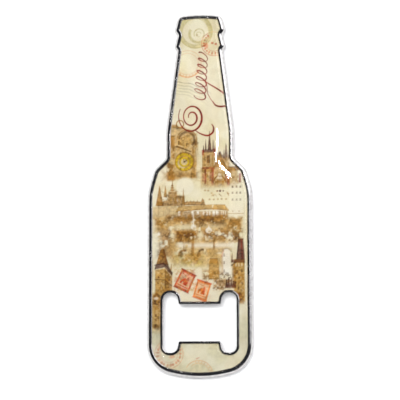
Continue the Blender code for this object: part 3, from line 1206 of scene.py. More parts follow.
@dataclass
class DiscMagnets:
    """The two magnets in the back."""

    finish: MagnetMetal = field(default_factory=MagnetMetal)
    edge: float = 0.2 * MM
    edge_steps: int = 4
    sides: int = 96

    def build(self) -> list[bpy.types.Object]:
        """Builds and dresses both magnets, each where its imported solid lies."""
        material = self.finish.material()
        pieces = []
        for name in ("magnet_upper", "magnet_lower"):
            low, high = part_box(name)
            radius, centre = (high.y - low.y) / 2, (high.y + low.y) / 2
            rungs = []
            for step in range(self.edge_steps + 1):
                angle = math.pi / 2 * step / self.edge_steps
                inwards, lift = self.edge * (1 - math.sin(angle)), self.edge * (1 - math.cos(angle))
                rungs.append((circle(radius - inwards, self.sides, centre), low.z + lift))
            rungs.append((circle(radius, self.sides, centre), high.z))
            solid = SolidBuilder()
            solid.through(rungs)
            piece = solid.finish(f"disc_{name}")
            wear_material(piece, material)
            dock(piece, "magnet", name)
            pieces.append(piece)
        return pieces


@dataclass
class PrintedCard:
    """The printed picture, painted in ink on the fine cells of its upper face."""

    outer: Outline
    hole: Outline
    finish: PrintedPaper = field(default_factory=PrintedPaper)
    gap: float = 0.05 * MM
    cell: float = 0.2 * MM

    def build(self) -> bpy.types.Object:
        """Builds, prints and dresses the card."""
        low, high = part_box("printed_picture")
        outer = self.outer.inset(OUTER_BEAD.width + self.gap)
        region = Region(outer, self.hole.inset(-(OPENING_BEAD.width + self.gap)))
        sheet = Sheet.cut(region, self.cell)
        tops = np.full(len(sheet.points), high.z)
        piece = sheet_solid("printed_card", sheet, tops, low.z)
        inks = Artwork(sheet.points / MM, region.depth(*sheet.points.T) / MM).print()
        colors = np.ones((len(piece.data.vertices), 4), np.float32)
        colors[:, :3] = PAPER_EDGE
        colors[: len(inks), :3] = inks
        layer = piece.data.attributes.new(self.finish.attribute, "FLOAT_COLOR", "POINT")
        layer.data.foreach_set("color", colors.ravel())
        wear_material(piece, self.finish.material())
        dock(piece, "picture", "printed_picture")
        return piece


# ------------------------------------------------------------
# Artwork
# ------------------------------------------------------------


class Ink(Enum):
    """Printing inks, as linear colours. The picture's places and sizes are in millimetres."""

    CREAM = (0.715, 0.665, 0.465)
    PALE = (0.79, 0.76, 0.63)
    GREY_CREAM = (0.58, 0.555, 0.395)
    SAND = (0.51, 0.34, 0.11)
    OCHRE = (0.35, 0.18, 0.024)
    OLIVE = (0.43, 0.36, 0.085)
    GOLD = (0.62, 0.48, 0.03)
    UMBER = (0.125, 0.05, 0.009)
    SEPIA = (0.04, 0.015, 0.006)
    MAROON = (0.11, 0.018, 0.008)
    BRICK = (0.29, 0.022, 0.008)
    VERMILION = (0.5, 0.085, 0.016)
    ORANGE = (0.64, 0.24, 0.045)
    SMOKE = (0.23, 0.19, 0.13)


PAPER_EDGE: Color = (0.62, 0.56, 0.42)


def value_noise(x: np.ndarray, y: np.ndarray, cell: float, seed: int) -> np.ndarray:
    """Smooth noise from 0 to 1.

    Args:
        x: places across.
        y: places along.
        cell: the noise's cell, in millimetres.
        seed: which noise.

    Returns:
        The noise at each place.
    """
    table = np.random.default_rng(seed).random((64, 64))
    u, v = x / cell + 1000.0, y / cell + 1000.0
    i, j = np.floor(u).astype(int), np.floor(v).astype(int)
    s, t = u - i, v - j
    s, t = s * s * (3 - 2 * s), t * t * (3 - 2 * t)
    a, b = table[i % 64, j % 64], table[(i + 1) % 64, j % 64]
    c, d = table[i % 64, (j + 1) % 64], table[(i + 1) % 64, (j + 1) % 64]
    return (a * (1 - s) + b * s) * (1 - t) + (c * (1 - s) + d * s) * t


class Canvas:
    """The printed face. Each call lays one shape of ink over what is there."""

    def __init__(self, points: np.ndarray, ground: Ink) -> None:
        """Starts with one ground colour all over."""
        self.x, self.y = points[:, 0], points[:, 1]
        self.inks = np.empty((len(points), 3))
        self.inks[:] = ground.value

    def _near(self, low: Place, high: Place) -> np.ndarray:
        """Numbers of the points in a box."""
        x, y = self.x, self.y
        return np.flatnonzero((x > low[0]) & (x < high[0]) & (y > low[1]) & (y < high[1]))

    def _around(self, at: Place, reach: float) -> tuple[np.ndarray, np.ndarray, np.ndarray]:
        """Numbers of the points around a place, and how far each lies from it across and along."""
        which = self._near((at[0] - reach, at[1] - reach), (at[0] + reach, at[1] + reach))
        return which, self.x[which] - at[0], self.y[which] - at[1]

    @staticmethod
    def _faded(away: np.ndarray, soft: float) -> np.ndarray:
        """Cover of points that lie this far outside a shape whose edge fades over a width."""
        return 0.5 - away / max(soft, SHARPEST_FADE)

    def _lay(self, which: np.ndarray, cover: np.ndarray, ink: Ink, strength: float) -> None:
        """Lays ink on these points, by their cover from 0 to 1."""
        share = (np.clip(cover, 0, 1) * strength)[:, None]
        self.inks[which] = self.inks[which] * (1 - share) + np.array(ink.value) * share

    def blob(
        self, at: Place, size: Place, ink: Ink, strength: float = 1.0, soft: float = 0.2,
        lean: float = 0.0,
    ) -> None:
        """Lays an ellipse.

        Args:
            at: its middle.
            size: its two half-axes.
            ink: the ink.
            strength: how densely it covers.
            soft: how far its edge fades.
            lean: its turn, in radians.
        """
        which, dx, dy = self._around(at, max(size) + soft)
        u = dx * math.cos(lean) + dy * math.sin(lean)
        v = dy * math.cos(lean) - dx * math.sin(lean)
        away = (np.hypot(u / size[0], v / size[1]) - 1) * min(size)
        self._lay(which, self._faded(away, soft), ink, strength)

    def ring(
        self, at: Place, radius: float, width: float, ink: Ink, strength: float = 1.0,
        arc: tuple[float, float] = (0.0, 360.0), soft: float = 0.2,
    ) -> None:
        """Lays a ring or an arc of one.

        Args:
            at: its middle.
            radius: its radius.
            width: its line's width.
            ink: the ink.
            strength: how densely it covers.
            arc: from where to where it goes, in degrees.
            soft: how far its edges fade.
        """
        which, dx, dy = self._around(at, radius + width + soft)
        away = np.abs(np.hypot(dx, dy) - radius) - width / 2
        turn = np.degrees(np.arctan2(dy, dx) - math.radians(arc[0])) % 360
        cover = np.where(turn <= arc[1] - arc[0], self._faded(away, soft), 0)
        self._lay(which, cover, ink, strength)

    def panel(self, low: Place, high: Place, ink: Ink, strength: float = 1.0, soft: float = 0.15) -> None:
        """Lays an upright rectangle.

        Args:
            low: its lower corner.
            high: its upper corner.
            ink: the ink.
            strength: how densely it covers.
            soft: how far its edges fade.
        """
        which = self._near((low[0] - soft, low[1] - soft), (high[0] + soft, high[1] + soft))
        x, y = self.x[which], self.y[which]
        away = np.maximum(np.maximum(low[0] - x, x - high[0]), np.maximum(low[1] - y, y - high[1]))
        self._lay(which, self._faded(away, soft), ink, strength)

    def shape(
        self, corners: Sequence[Place], ink: Ink, strength: float = 1.0, soft: float = 0.15,
    ) -> None:
        """Lays a polygon.

        Args:
            corners: its corners, in order.
            ink: the ink.
            strength: how densely it covers.
            soft: how far its edges fade.
        """
        ends = np.array(corners)
        low, high = ends.min(0) - soft, ends.max(0) + soft
        which = self._near(tuple(low), tuple(high))
        x, y = self.x[which], self.y[which]
        away = ring_distance(ends, x, y)
        away = np.where(inside_ring(ends, x, y), -away, away)
        self._lay(which, self._faded(away, soft), ink, strength)

    def stroke(
        self, places: Sequence[Place], widths: Sequence[float], ink: Ink, strength: float = 1.0,
        soft: float = 0.2, smooth: bool = True,
    ) -> None:
        """Draws a pen stroke through places.

        Args:
            places: where it passes.
            widths: its widths, spread evenly along it.
            ink: the ink.
            strength: how densely it covers.
            soft: how far its edges fade.
            smooth: whether it curves from place to place.
        """
        ends = smooth_path(places) if smooth else np.array(places)
        low, high = ends.min(0) - max(widths) - soft, ends.max(0) + max(widths) + soft
        which = self._near(tuple(low), tuple(high))
        x, y = self.x[which], self.y[which]
        away = np.full(len(which), np.inf)
        wide = np.interp(np.linspace(0, 1, len(ends) - 1), np.linspace(0, 1, len(widths)), widths)
        for start, end, width in zip(ends, ends[1:], wide):
            away = np.minimum(away, segment_distance(x, y, start, end) - width / 2)
        self._lay(which, self._faded(away, soft), ink, strength)

    def mottle(
        self, low: Place, high: Place, ink: Ink, strength: float, cell: float, seed: int,
        fill: float = 0.5, fade: float = 1.5,
    ) -> None:
        """Lays ragged patches over a box, from two sizes of noise.

        Args:
            low: the box's lower corner.
            high: its upper corner.
            ink: the ink.
            strength: how densely the patches cover.
            cell: their size.
            seed: which noise.
            fill: share of the box that they fill.
            fade: how far the box's edges fade.
        """
        which = self._near(low, high)
        x, y = self.x[which], self.y[which]
        rough = 0.6 * value_noise(x, y, cell, seed) + 0.4 * value_noise(x, y, cell / 2.3, seed + 1)
        across, along = np.minimum(x - low[0], high[0] - x), np.minimum(y - low[1], high[1] - y)
        inside = np.clip(np.minimum(across, along) / fade, 0, 1)
        cover = np.clip((rough - (1 - fill)) / 0.16 + 0.5, 0, 1) * inside
        self._lay(which, cover, ink, strength)


def around(at: Place, radius: float, angle: float) -> Place:
    """Place on a circle round a middle, at an angle in radians."""
    return at[0] + radius * math.cos(angle), at[1] + radius * math.sin(angle)


def smooth_path(places: Sequence[Place], steps: int = 8) -> np.ndarray:
    """Finds a curve that passes smoothly through places.

    Args:
        places: the places.
        steps: how many pieces it has between two of them.

    Returns:
        The curve's points.
    """
    ends = np.array([places[0], *places, places[-1]])
    found = []
    for a, b, c, d in zip(ends, ends[1:], ends[2:], ends[3:]):
        for step in range(steps):
            t = step / steps
            square, cube = (2 * a - 5 * b + 4 * c - d) * t**2, (3 * b - a - 3 * c + d) * t**3
            found.append(0.5 * (2 * b + (c - a) * t + square + cube))
    return np.array([*found, ends[-1]])


class Artwork:
    """A sepia collage of an old town: towers, a hill castle, a bridge, stamps and postmarks."""

    def __init__(self, points: np.ndarray, depth: np.ndarray) -> None:
        """Keeps the card's points and their distances from its edges, in millimetres."""
        self.contrast = 1.42
        self.brightest = 1.6
        self.speck_depth = 1.8
        self.speck_layers = ((0.55, 0.55, 11), (0.45, 1.1, 12))
        self.canvas = Canvas(points, Ink.CREAM)
        self.depth = depth

    def print(self) -> np.ndarray:
        """Paints every part, from the ground up.

        Returns:
            The colour of each point.
        """
        self.ground()
        self.cap_marks()
        self.clock_tower()
        self.smoke()
        self.twin_church()
        self.facade()
        self.hill_castle()
        self.long_palace()
        self.trees()
        self.bridge()
        self.corner_tower()
        self.small_towers()
        self.gate_tower()
        self.stamps()
        self.low_marks()
        self.flourish()
        return self._printed(self.canvas.inks)

    def _printed(self, inks: np.ndarray) -> np.ndarray:
        """Deepens the inks and breaks their dark fields up into fine specks, as a coarse print does."""
        cream = np.array(Ink.CREAM.value)
        deep = np.minimum(inks / cream, self.brightest) ** self.contrast
        cover = np.clip(1 - deep.mean(1), 0, 1)
        x, y = self.canvas.x, self.canvas.y
        specks = sum(share * value_noise(x, y, cell, seed) for share, cell, seed in self.speck_layers)
        return cream * deep * (1 - self.speck_depth * cover * (specks - 0.5))[:, None]

    def ground(self) -> None:
        """Tones the paper: greyer below, warmer at the neck, cloudy all over."""
        c = self.canvas
        fade = np.clip((-c.y - 20) / 40, 0, 1)[:, None] * 0.6
        c.inks = c.inks * (1 - fade) + np.array(Ink.GREY_CREAM.value) * fade
        c.mottle((-22, -74), (22, 74), Ink.PALE, 0.35, 9.0, 11, 0.5, 0.5)
        c.mottle((-22, -74), (22, 74), Ink.SAND, 0.1, 6.0, 21, 0.45, 0.5)
        c.blob((-1.04, 38.18), (4.81, 10.43), Ink.PALE, 0.35, 8.02)

    def postmark(
        self, at: Place, radius: float, ink: Ink, strength: float, arc: tuple[float, float], seed: int,
    ) -> None:
        """Prints a round postmark of two rings with ticks between, and no words.

        Args:
            at: its middle.
            radius: the outer ring's radius.
            ink: the ink.
            strength: how densely it prints.
            arc: from where to where it printed well, in degrees.
            seed: which ticks are broken.
        """
        c = self.canvas
        c.ring(at, radius, 0.28, ink, strength * 0.8, arc)
        c.ring(at, radius * 0.62, 0.22, ink, strength * 0.7, arc)
        chance = np.random.default_rng(seed)
        for turn in np.arange(arc[0] + 6, arc[1] - 4, 17.0):
            spot = math.radians(turn + chance.uniform(-2, 2))
            size = (0.12 * radius * chance.uniform(0.6, 1.1), 0.09 * radius * chance.uniform(0.6, 1.2))
            c.blob(around(at, 0.81 * radius, spot), size, ink, strength, 0.25, spot)

    def cap_marks(self) -> None:
        """Prints the seal, the postmarks and the wavy cancelling lines of the neck."""
        c = self.canvas
        seal = (-1.64, 65.44)
        c.ring(seal, 6.02, 1.28, Ink.OLIVE, 0.38, soft=0.5)
        c.ring(seal, 6.66, 0.36, Ink.OLIVE, 0.45)
        c.ring(seal, 5.29, 0.32, Ink.OLIVE, 0.3)
        c.ring((-0.56, 64.64), 3.53, 1.04, Ink.OLIVE, 0.42, (150, 330), 0.5)
        c.ring((-0.24, 64.64), 2.0, 0.36, Ink.OLIVE, 0.45, (-60, 210))
        c.ring((-0.4, 64.4), 0.96, 0.32, Ink.OLIVE, 0.4, (20, 300))
        c.blob((-1.04, 64.16), (0.36, 0.28), Ink.OCHRE, 0.5)
        c.blob((-1.44, 66.0), (0.28, 0.24), Ink.OCHRE, 0.35)
        self.postmark((5.61, 60.47), 4.89, Ink.VERMILION, 0.62, (118, 305), 5)
        c.ring((5.61, 60.47), 4.89, 0.22, Ink.ORANGE, 0.35, (-55, 118))
        c.blob((2.65, 59.83), (0.8, 1.04), Ink.VERMILION, 0.45, 0.6)
        c.panel((4.57, 60.39), (5.53, 61.19), Ink.VERMILION, 0.6)
        c.panel((5.93, 59.91), (6.82, 60.71), Ink.VERMILION, 0.6)
        faint = (-4.89, 52.37)
        c.ring(faint, 5.45, 0.3, Ink.ORANGE, 0.3)
        c.ring(faint, 4.33, 0.3, Ink.ORANGE, 0.26)
        c.ring(faint, 5.37, 0.6, Ink.ORANGE, 0.4, (200, 325), 0.4)
        for turn in range(205, 325, 15):
            spot = math.radians(turn)
            c.blob(around(faint, 4.85, spot), (0.3, 0.22), Ink.ORANGE, 0.35, 0.2, spot)
        for line in range(5):
            left, level = -10.47 - 0.35 * line, 45.15 - 1.16 * line
            ripple = [0.22 * math.sin(1.6 * k + 0.4) - 0.05 * k * k for k in range(11)]
            wave = [(left + 1.5 * k, level + rise) for k, rise in enumerate(ripple)]
            c.stroke(wave, (0.24, 0.3, 0.12), Ink.SMOKE, 0.42 - 0.05 * line)

    def clock_tower(self) -> None:
        """Paints the clock tower at the left of the neck."""
        c = self.canvas
        c.shape(
            [(-12.47, 5.29), (-12.47, 18.13), (-11.47, 27.75), (-7.06, 26.95), (-2.65, 24.94),
            (-0.64, 19.73), (-1.04, 6.1)], Ink.SAND, 0.62, 0.9,
        )
        c.panel((-12.07, 26.39), (-9.06, 27.75), Ink.OCHRE, 0.55, 0.3)
        c.mottle((-13.67, 4.49), (-9.46, 25.34), Ink.OCHRE, 0.75, 1.6, 31, 0.62, 1.0)
        c.mottle((-9.46, 10.11), (-0.64, 24.54), Ink.SAND, 0.65, 1.2, 33, 0.5, 1.0)
        c.ring((-7.86, 27.91), 1.44, 0.42, Ink.OCHRE, 0.85)
        c.blob((-7.86, 27.75), (0.96, 0.8), Ink.CREAM, 0.7)
        c.panel((-9.38, 25.9), (-6.06, 26.47), Ink.UMBER, 0.45)
        c.ring((-5.13, 21.57), 3.05, 0.96, Ink.UMBER, 0.62, (-48, 178), 0.4)
        c.ring((-5.13, 21.57), 3.93, 0.4, Ink.OCHRE, 0.6, (-50, 180), 0.3)
        c.blob((-6.02, 20.53), (2.25, 2.57), Ink.SAND, 0.6, 0.8)
        c.ring((-6.7, 21.93), 0.68, 0.25, Ink.UMBER, 0.55)
        c.panel((-8.66, 19.49), (-8.02, 21.17), Ink.UMBER, 0.75)
        c.panel((-7.78, 19.25), (-7.38, 20.53), Ink.OCHRE, 0.65)
        c.panel((-5.45, 18.77), (-4.97, 20.13), Ink.UMBER, 0.65)
        c.panel((-4.97, 19.65), (-4.17, 20.05), Ink.UMBER, 0.55)
        c.stroke(
            [(-9.22, 18.85), (-6.66, 17.96), (-3.53, 16.68)], (0.75, 0.5), Ink.UMBER, 0.72, smooth=False,
        )
        c.stroke([(-8.66, 19.41), (-6.66, 18.69)], (0.3,), Ink.CREAM, 0.45, smooth=False)
        c.shape([(-2.81, 20.13), (-1.6, 21.33), (-0.32, 20.29), (-1.52, 18.93)], Ink.UMBER, 0.5, 0.3)
        c.stroke([(-2.85, 18.13), (-2.41, 12.51), (-2.73, 6.9)], (0.8, 1.1, 1.6), Ink.OCHRE, 0.5, 0.5)
        c.stroke([(-1.24, 18.13), (-0.96, 12.51), (-1.2, 6.9)], (0.3, 0.4), Ink.PALE, 0.4)
        c.ring((-6.02, 12.75), 3.77, 0.36, Ink.UMBER, 0.5, (-60, 150))
        self.dial((-6.18, 12.59))

    def dial(self, at: Place) -> None:
        """Paints a plain clock dial with hour marks and two hands."""
        c = self.canvas
        c.blob(at, (3.69, 3.69), Ink.GOLD, 0.88, 0.3)
        c.ring(at, 3.57, 0.36, Ink.OCHRE, 0.6)
        c.blob(at, (2.65, 2.65), Ink.SAND, 0.85, 0.3)
        c.blob((-6.82, 11.95), (2.0, 1.92), Ink.CREAM, 0.55, 0.5)
        c.ring(at, 1.64, 0.62, Ink.GOLD, 0.95)
        c.ring(at, 2.0, 0.22, Ink.UMBER, 0.45, (100, 330))
        for hour in range(12):
            spot = math.radians(30 * hour)
            c.blob(around(at, 3.13, spot), (0.38, 0.16), Ink.OCHRE, 0.75, 0.15, spot)
        c.stroke([at, (at[0] + 1.04, at[1] + 0.64)], (0.34, 0.2), Ink.UMBER, 0.7, smooth=False)
        c.stroke([at, (at[0] - 0.4, at[1] + 1.28)], (0.3, 0.18), Ink.UMBER, 0.6, smooth=False)
        c.blob(at, (0.35, 0.35), Ink.UMBER, 0.7)

    def smoke(self) -> None:
        """Paints the brown haze under the clock."""
        c = self.canvas
        c.mottle((-15.88, 4.49), (1.36, 9.7), Ink.OCHRE, 0.5, 3.4, 41, 0.66, 2.4)
        c.mottle((-9.46, 5.29), (0.56, 9.3), Ink.UMBER, 0.4, 2.4, 43, 0.5, 2.0)
        c.mottle((-19.09, -3.93), (0.16, 6.1), Ink.SAND, 0.22, 3.0, 45, 0.5, 3.0)

    def spire(self, tip: Place, base: float, half: float, ink: Ink, strength: float) -> None:
        """Paints one pointed spire.

        Args:
            tip: its point.
            base: how far along its foot lies.
            half: half its width there.
            ink: the ink.
            strength: how densely it covers.
        """
        x, y = tip
        self.canvas.shape(
            [(x - half, base), (x + half, base), (x + 0.06, y), (x - 0.06, y)], ink, strength, 0.2
        )

    def twin_church(self) -> None:
        """Paints a church with two spired towers and a stepped gable between them."""
        c = self.canvas
        c.panel((0.4, 2.09), (15.0, 10.11), Ink.SAND, 0.6, 0.8)
        c.panel((0.96, 8.5), (5.85, 16.68), Ink.SAND, 0.75, 0.2)
        c.panel((9.14, 8.5), (11.79, 14.12), Ink.SAND, 0.55, 0.4)
        for tip, foot, half in (
            ((3.93, 24.94), 17.12, 0.76), ((2.41, 21.73), 17.12, 0.36), ((5.37, 21.53), 17.12, 0.36),
            ((1.52, 19.33), 16.32, 0.36), ((6.1, 19.33), 16.32, 0.32)
        ):
            self.spire(tip, foot, half, Ink.MAROON, 0.8)
        c.panel((1.36, 16.28), (6.18, 17.48), Ink.MAROON, 0.7, 0.3)
        c.panel((0.88, 15.16), (1.68, 17.32), Ink.BRICK, 0.65, 0.3)
        c.panel((5.53, 14.92), (6.26, 17.88), Ink.BRICK, 0.6, 0.3)
        c.panel((2.97, 11.95), (4.01, 15.08), Ink.MAROON, 0.8, 0.2)
        c.panel((3.33, 12.11), (3.57, 14.76), Ink.SAND, 0.7, 0.15)
        c.stroke([(1.84, 10.91), (1.84, 15.72)], (0.3,), Ink.OCHRE, 0.55, smooth=False)
        c.stroke([(5.13, 10.91), (5.13, 15.72)], (0.3,), Ink.OCHRE, 0.55, smooth=False)
        c.panel((0.96, 9.54), (6.18, 10.51), Ink.BRICK, 0.55, 0.3)
        for tip, foot, half in (
            ((10.43, 20.13), 14.12, 0.68), ((9.62, 17.32), 13.71, 0.32), ((11.47, 16.92), 13.71, 0.36)
        ):
            self.spire(tip, foot, half, Ink.MAROON, 0.62)
        c.shape([(5.53, 10.31), (8.02, 16.44), (10.83, 10.31)], Ink.OCHRE, 0.8, 0.25)
        c.shape([(6.82, 10.67), (8.1, 13.95), (9.46, 10.67)], Ink.SAND, 0.7, 0.25)
        for step in range(5):
            side = 0.52 * step
            level = 15.96 - 1.1 * side
            for x in (8.02 - side, 8.02 + side):
                c.panel((x - 0.22, level - 0.6), (x + 0.22, level + 0.5), Ink.MAROON, 0.6, 0.15)
        c.panel((7.62, 15.64), (8.42, 16.6), Ink.MAROON, 0.65, 0.2)
        c.panel((11.39, 8.9), (15.8, 10.35), Ink.OCHRE, 0.65, 0.3)
        c.panel((11.39, 10.03), (15.64, 10.51), Ink.UMBER, 0.55, 0.2)
        for x, high, low, half in (
            (2.25, 9.5, 3.69, 0.4), (1.36, 7.7, 4.49, 0.2), (5.13, 9.7, 2.89, 0.52),
            (4.17, 8.5, 4.89, 0.2), (11.39, 9.3, 2.89, 0.56), (10.35, 7.7, 4.09, 0.2),
            (15.96, 7.7, 4.09, 0.36)
        ):
            c.panel((x - half, low), (x + half, high), Ink.BRICK, 0.66, 0.3)
        for x in (3.21, 6.98, 9.14):
            c.panel((x - 0.2, 2.09), (x + 0.2, 9.3), Ink.SAND, 0.6, 0.25)
        c.ring((7.86, 4.73), 2.09, 0.6, Ink.OCHRE, 0.85, (0, 180), 0.25)
        c.panel((5.93, 2.89), (6.54, 4.89), Ink.OCHRE, 0.7)
        c.panel((9.22, 2.89), (9.82, 4.89), Ink.OCHRE, 0.7)
        c.blob((7.86, 4.09), (1.28, 1.44), Ink.UMBER, 0.45, 0.4)
        c.shape([(6.58, 5.69), (7.9, 8.5), (9.22, 5.69)], Ink.PALE, 0.45, 0.3)
        c.mottle((0.56, 1.28), (16.2, 10.11), Ink.OCHRE, 0.55, 0.9, 53, 0.42, 1.2)
        c.mottle((0.96, 9.3), (12.19, 15.72), Ink.OCHRE, 0.4, 0.7, 55, 0.4, 1.0)
        c.mottle((0.16, 0.88), (11.79, 4.89), Ink.SAND, 0.5, 1.4, 57, 0.6, 2.0)

    def facade(self) -> None:
        """Paints the pale houses right of the castle, with rows of small windows."""
        c = self.canvas
        c.panel((0.56, -5.13), (17.4, 3.29), Ink.CREAM, 0.6, 2.0)
        c.shape(
            [(11.79, -9.54), (11.79, 2.89), (13.55, 4.89), (16.84, 2.49), (17.64, -9.54)], Ink.PALE, 0.3,
            0.6,
        )
        for row, y in enumerate((2.41, 0.0, -2.73)):
            for x in (13.07, 14.68, 16.12):
                low, high = (x - 0.34, y - 0.42), (x + 0.34, y + 0.42)
                c.panel(low, high, Ink.UMBER, 0.58 - 0.1 * row, 0.25)
        for x, y in (
            (3.37, 0.96), (2.17, 1.04), (4.81, -0.08), (5.37, -0.96), (6.9, 0.72), (7.22, -2.49),
            (5.61, -2.57), (3.93, -2.57), (10.51, -2.49), (8.74, -2.41), (11.39, -0.32)
        ):
            c.blob((x, y), (0.42, 0.34), Ink.OCHRE, 0.48, 0.3)
        for x, size in ((7.06, 0.3), (8.1, 0.46), (9.38, 0.3)):
            c.blob((x, 0.8), (size, size), Ink.MAROON, 0.8, 0.25)
        c.ring((5.61, -1.52), 1.04, 0.2, Ink.OCHRE, 0.35, (0, 180))
        c.stroke([(10.91, 0.24), (11.63, -1.28)], (0.4, 0.2), Ink.OCHRE, 0.55)
        c.stroke([(7.78, -0.48), (8.82, -1.44)], (0.4, 0.2), Ink.OCHRE, 0.55)
        c.panel((11.39, -8.5), (17.4, -8.1), Ink.OCHRE, 0.4, 0.2)
        c.blob((13.15, -7.38), (0.3, 0.3), Ink.OCHRE, 0.4)
        c.blob((15.64, -7.38), (0.3, 0.3), Ink.OCHRE, 0.4)

    def hill_castle(self) -> None:
        """Paints a hill castle as a skyline of spires under a pale sun."""
        c = self.canvas
        c.blob((-5.85, 2.65), (3.85, 3.77), Ink.CREAM, 0.75, 1.0)
        c.blob((-5.85, 2.65), (3.53, 3.45), Ink.PALE, 0.45, 0.6)
        for tip, foot, half, dense in (
            ((-16.04, 3.13), -4.97, 1.56, 0.78), ((-13.71, 3.13), -1.6, 0.76, 0.76), ((-10.91, 5.85),
            0.48, 0.48, 0.66), ((-6.5, 1.92), -4.33, 0.6, 0.62), ((-9.46, 1.68), -4.33, 0.52, 0.5)
        ):
            self.spire(tip, foot, half, Ink.OCHRE, dense)
        for y, half in ((3.05, 0.48), (2.17, 0.68), (1.28, 0.96)):
            c.blob((-10.95, y), (half, 0.38), Ink.OCHRE, 0.72, 0.2)
            c.blob((-10.85, y - 0.45), (half * 0.7, 0.2), Ink.CREAM, 0.55, 0.2)
        c.shape(
            [(-17.08, -5.13), (-16.92, -3.13), (-15.08, -3.29), (-12.67, -2.73), (-12.59, 0.72),
            (-9.14, 0.72), (-9.06, -0.88), (-6.02, -1.28), (-5.85, -5.13)], Ink.OCHRE, 0.66, 0.4,
        )
        c.panel((-9.46, -1.76), (-6.02, -0.88), Ink.UMBER, 0.3, 0.3)
        c.panel((-11.79, -4.33), (-11.23, -0.72), Ink.SAND, 0.7, 0.3)
        c.panel((-10.35, -4.33), (-9.94, -1.12), Ink.SAND, 0.55, 0.3)
        c.panel((-14.68, -2.49), (-13.07, -1.52), Ink.PALE, 0.65, 0.4)
        c.blob((-8.9, -2.73), (0.35, 0.6), Ink.PALE, 0.5, 0.3)
        c.shape(
            [(-6.26, -4.81), (-6.02, -3.53), (-3.85, -3.29), (0.56, -3.45), (1.04, -2.0), (1.76, -2.81),
            (2.25, -4.73)], Ink.OCHRE, 0.72, 0.3,
        )
        for x in (-5.05, -3.69, -2.33, -0.96):
            c.shape([(x - 0.36, -3.69), (x + 0.36, -3.69), (x, -2.73)], Ink.OCHRE, 0.6)
        c.stroke([(-6.02, -4.65), (2.17, -4.57)], (0.3,), Ink.UMBER, 0.55, smooth=False)
        c.mottle((-17.48, -5.53), (-5.45, 1.28), Ink.UMBER, 0.38, 0.9, 61, 0.34, 1.0)
        c.mottle((-17.08, -4.73), (-6.26, 1.28), Ink.SAND, 0.4, 0.8, 63, 0.34, 1.0)

    def long_palace(self) -> None:
        """Paints the terrace under the castle and the arcaded palace beside it."""
        c = self.canvas
        c.shape(
            [(-18.69, -10.35), (-18.49, -5.29), (-9.46, -4.97), (-7.86, -6.74), (-7.86, -8.34),
            (-14.28, -10.35)], Ink.SAND, 0.5, 0.7,
        )
        for x in (-16.44, -14.28, -12.11):
            c.stroke([(x, -5.37), (x - 0.12, -9.14)], (0.22,), Ink.OCHRE, 0.35, smooth=False)
        c.shape([(-9.46, -7.3), (-8.5, -5.29), (4.97, -4.65), (4.97, -6.26)], Ink.SAND, 0.78, 0.4)
        c.shape([(4.81, -6.58), (5.69, -4.65), (10.03, -4.81), (11.55, -6.9)], Ink.SAND, 0.85, 0.4)
        c.stroke(
            [(-9.38, -7.38), (-3.85, -6.82), (4.97, -6.42), (11.39, -6.98)], (0.42, 0.3), Ink.OCHRE, 0.75,
        )
        c.stroke([(-8.5, -5.37), (4.97, -4.73), (10.03, -4.81)], (0.22,), Ink.OCHRE, 0.45)
        c.panel((-8.82, -10.35), (11.15, -7.22), Ink.OCHRE, 0.55, 0.5)
        for x, half, low in (
            (-8.18, 0.44, -9.14), (-2.97, 0.36, -9.54), (-0.72, 0.4, -8.58), (1.52, 0.4, -8.74),
            (2.97, 0.44, -8.98), (3.93, 0.28, -8.9), (5.61, 0.48, -9.54), (6.82, 0.4, -9.3)
        ):
            c.panel((x - half, low), (x + half, -7.54), Ink.PALE, 0.9, 0.3)
            c.blob((x, -7.54), (half, 0.4), Ink.PALE, 0.85, 0.25)
        for x in (7.62, 8.5, 9.38, 10.27):
            c.panel((x - 0.16, -8.74), (x + 0.16, -7.3), Ink.PALE, 0.7, 0.2)
        c.mottle((-9.06, -10.75), (11.79, -6.74), Ink.OCHRE, 0.45, 0.9, 65, 0.36, 1.0)

    def trees(self) -> None:
        """Paints the band of gardens between the palace and the bridge."""
        c = self.canvas
        c.mottle((-18.69, -16.36), (17.6, -8.74), Ink.SAND, 0.8, 2.4, 71, 0.72, 2.0)
        c.mottle((-14.28, -12.35), (11.79, -7.94), Ink.OCHRE, 0.75, 1.8, 73, 0.6, 1.8)
        c.mottle((-1.84, -13.55), (10.59, -8.74), Ink.UMBER, 0.55, 1.5, 75, 0.58, 1.8)
        c.mottle((-13.47, -11.55), (-2.65, -8.54), Ink.UMBER, 0.42, 1.3, 76, 0.46, 1.2)
        c.mottle((-18.49, -14.76), (-12.67, -9.54), Ink.OCHRE, 0.65, 1.5, 77, 0.5, 1.5)
        c.mottle((9.78, -14.76), (17.4, -9.54), Ink.OCHRE, 0.7, 1.6, 79, 0.52, 1.6)
        c.blob((-6.26, -13.71), (4.41, 1.2), Ink.CREAM, 0.7, 1.2)
        c.blob((5.37, -13.55), (3.21, 0.88), Ink.CREAM, 0.4, 1.2)
        c.mottle((-10.47, -20.57), (-0.04, -13.95), Ink.OCHRE, 0.92, 2.0, 81, 0.72, 1.6)
        c.mottle((-9.86, -20.37), (-1.04, -14.76), Ink.UMBER, 0.62, 1.5, 83, 0.54, 1.6)
        c.mottle((0.16, -20.37), (17.4, -13.55), Ink.OCHRE, 0.8, 1.8, 85, 0.62, 1.8)
        c.mottle((1.36, -19.97), (16.2, -15.16), Ink.UMBER, 0.42, 1.3, 87, 0.46, 1.6)
        c.mottle((-17.08, -26.79), (-9.06, -13.55), Ink.OCHRE, 0.7, 2.2, 89, 0.56, 2.4)
        c.mottle((-15.08, -19.17), (-10.67, -13.55), Ink.UMBER, 0.6, 1.2, 91, 0.5, 1.4)
        c.mottle((-18.69, -26.79), (-11.07, -14.76), Ink.SMOKE, 0.3, 2.4, 93, 0.5, 2.4)
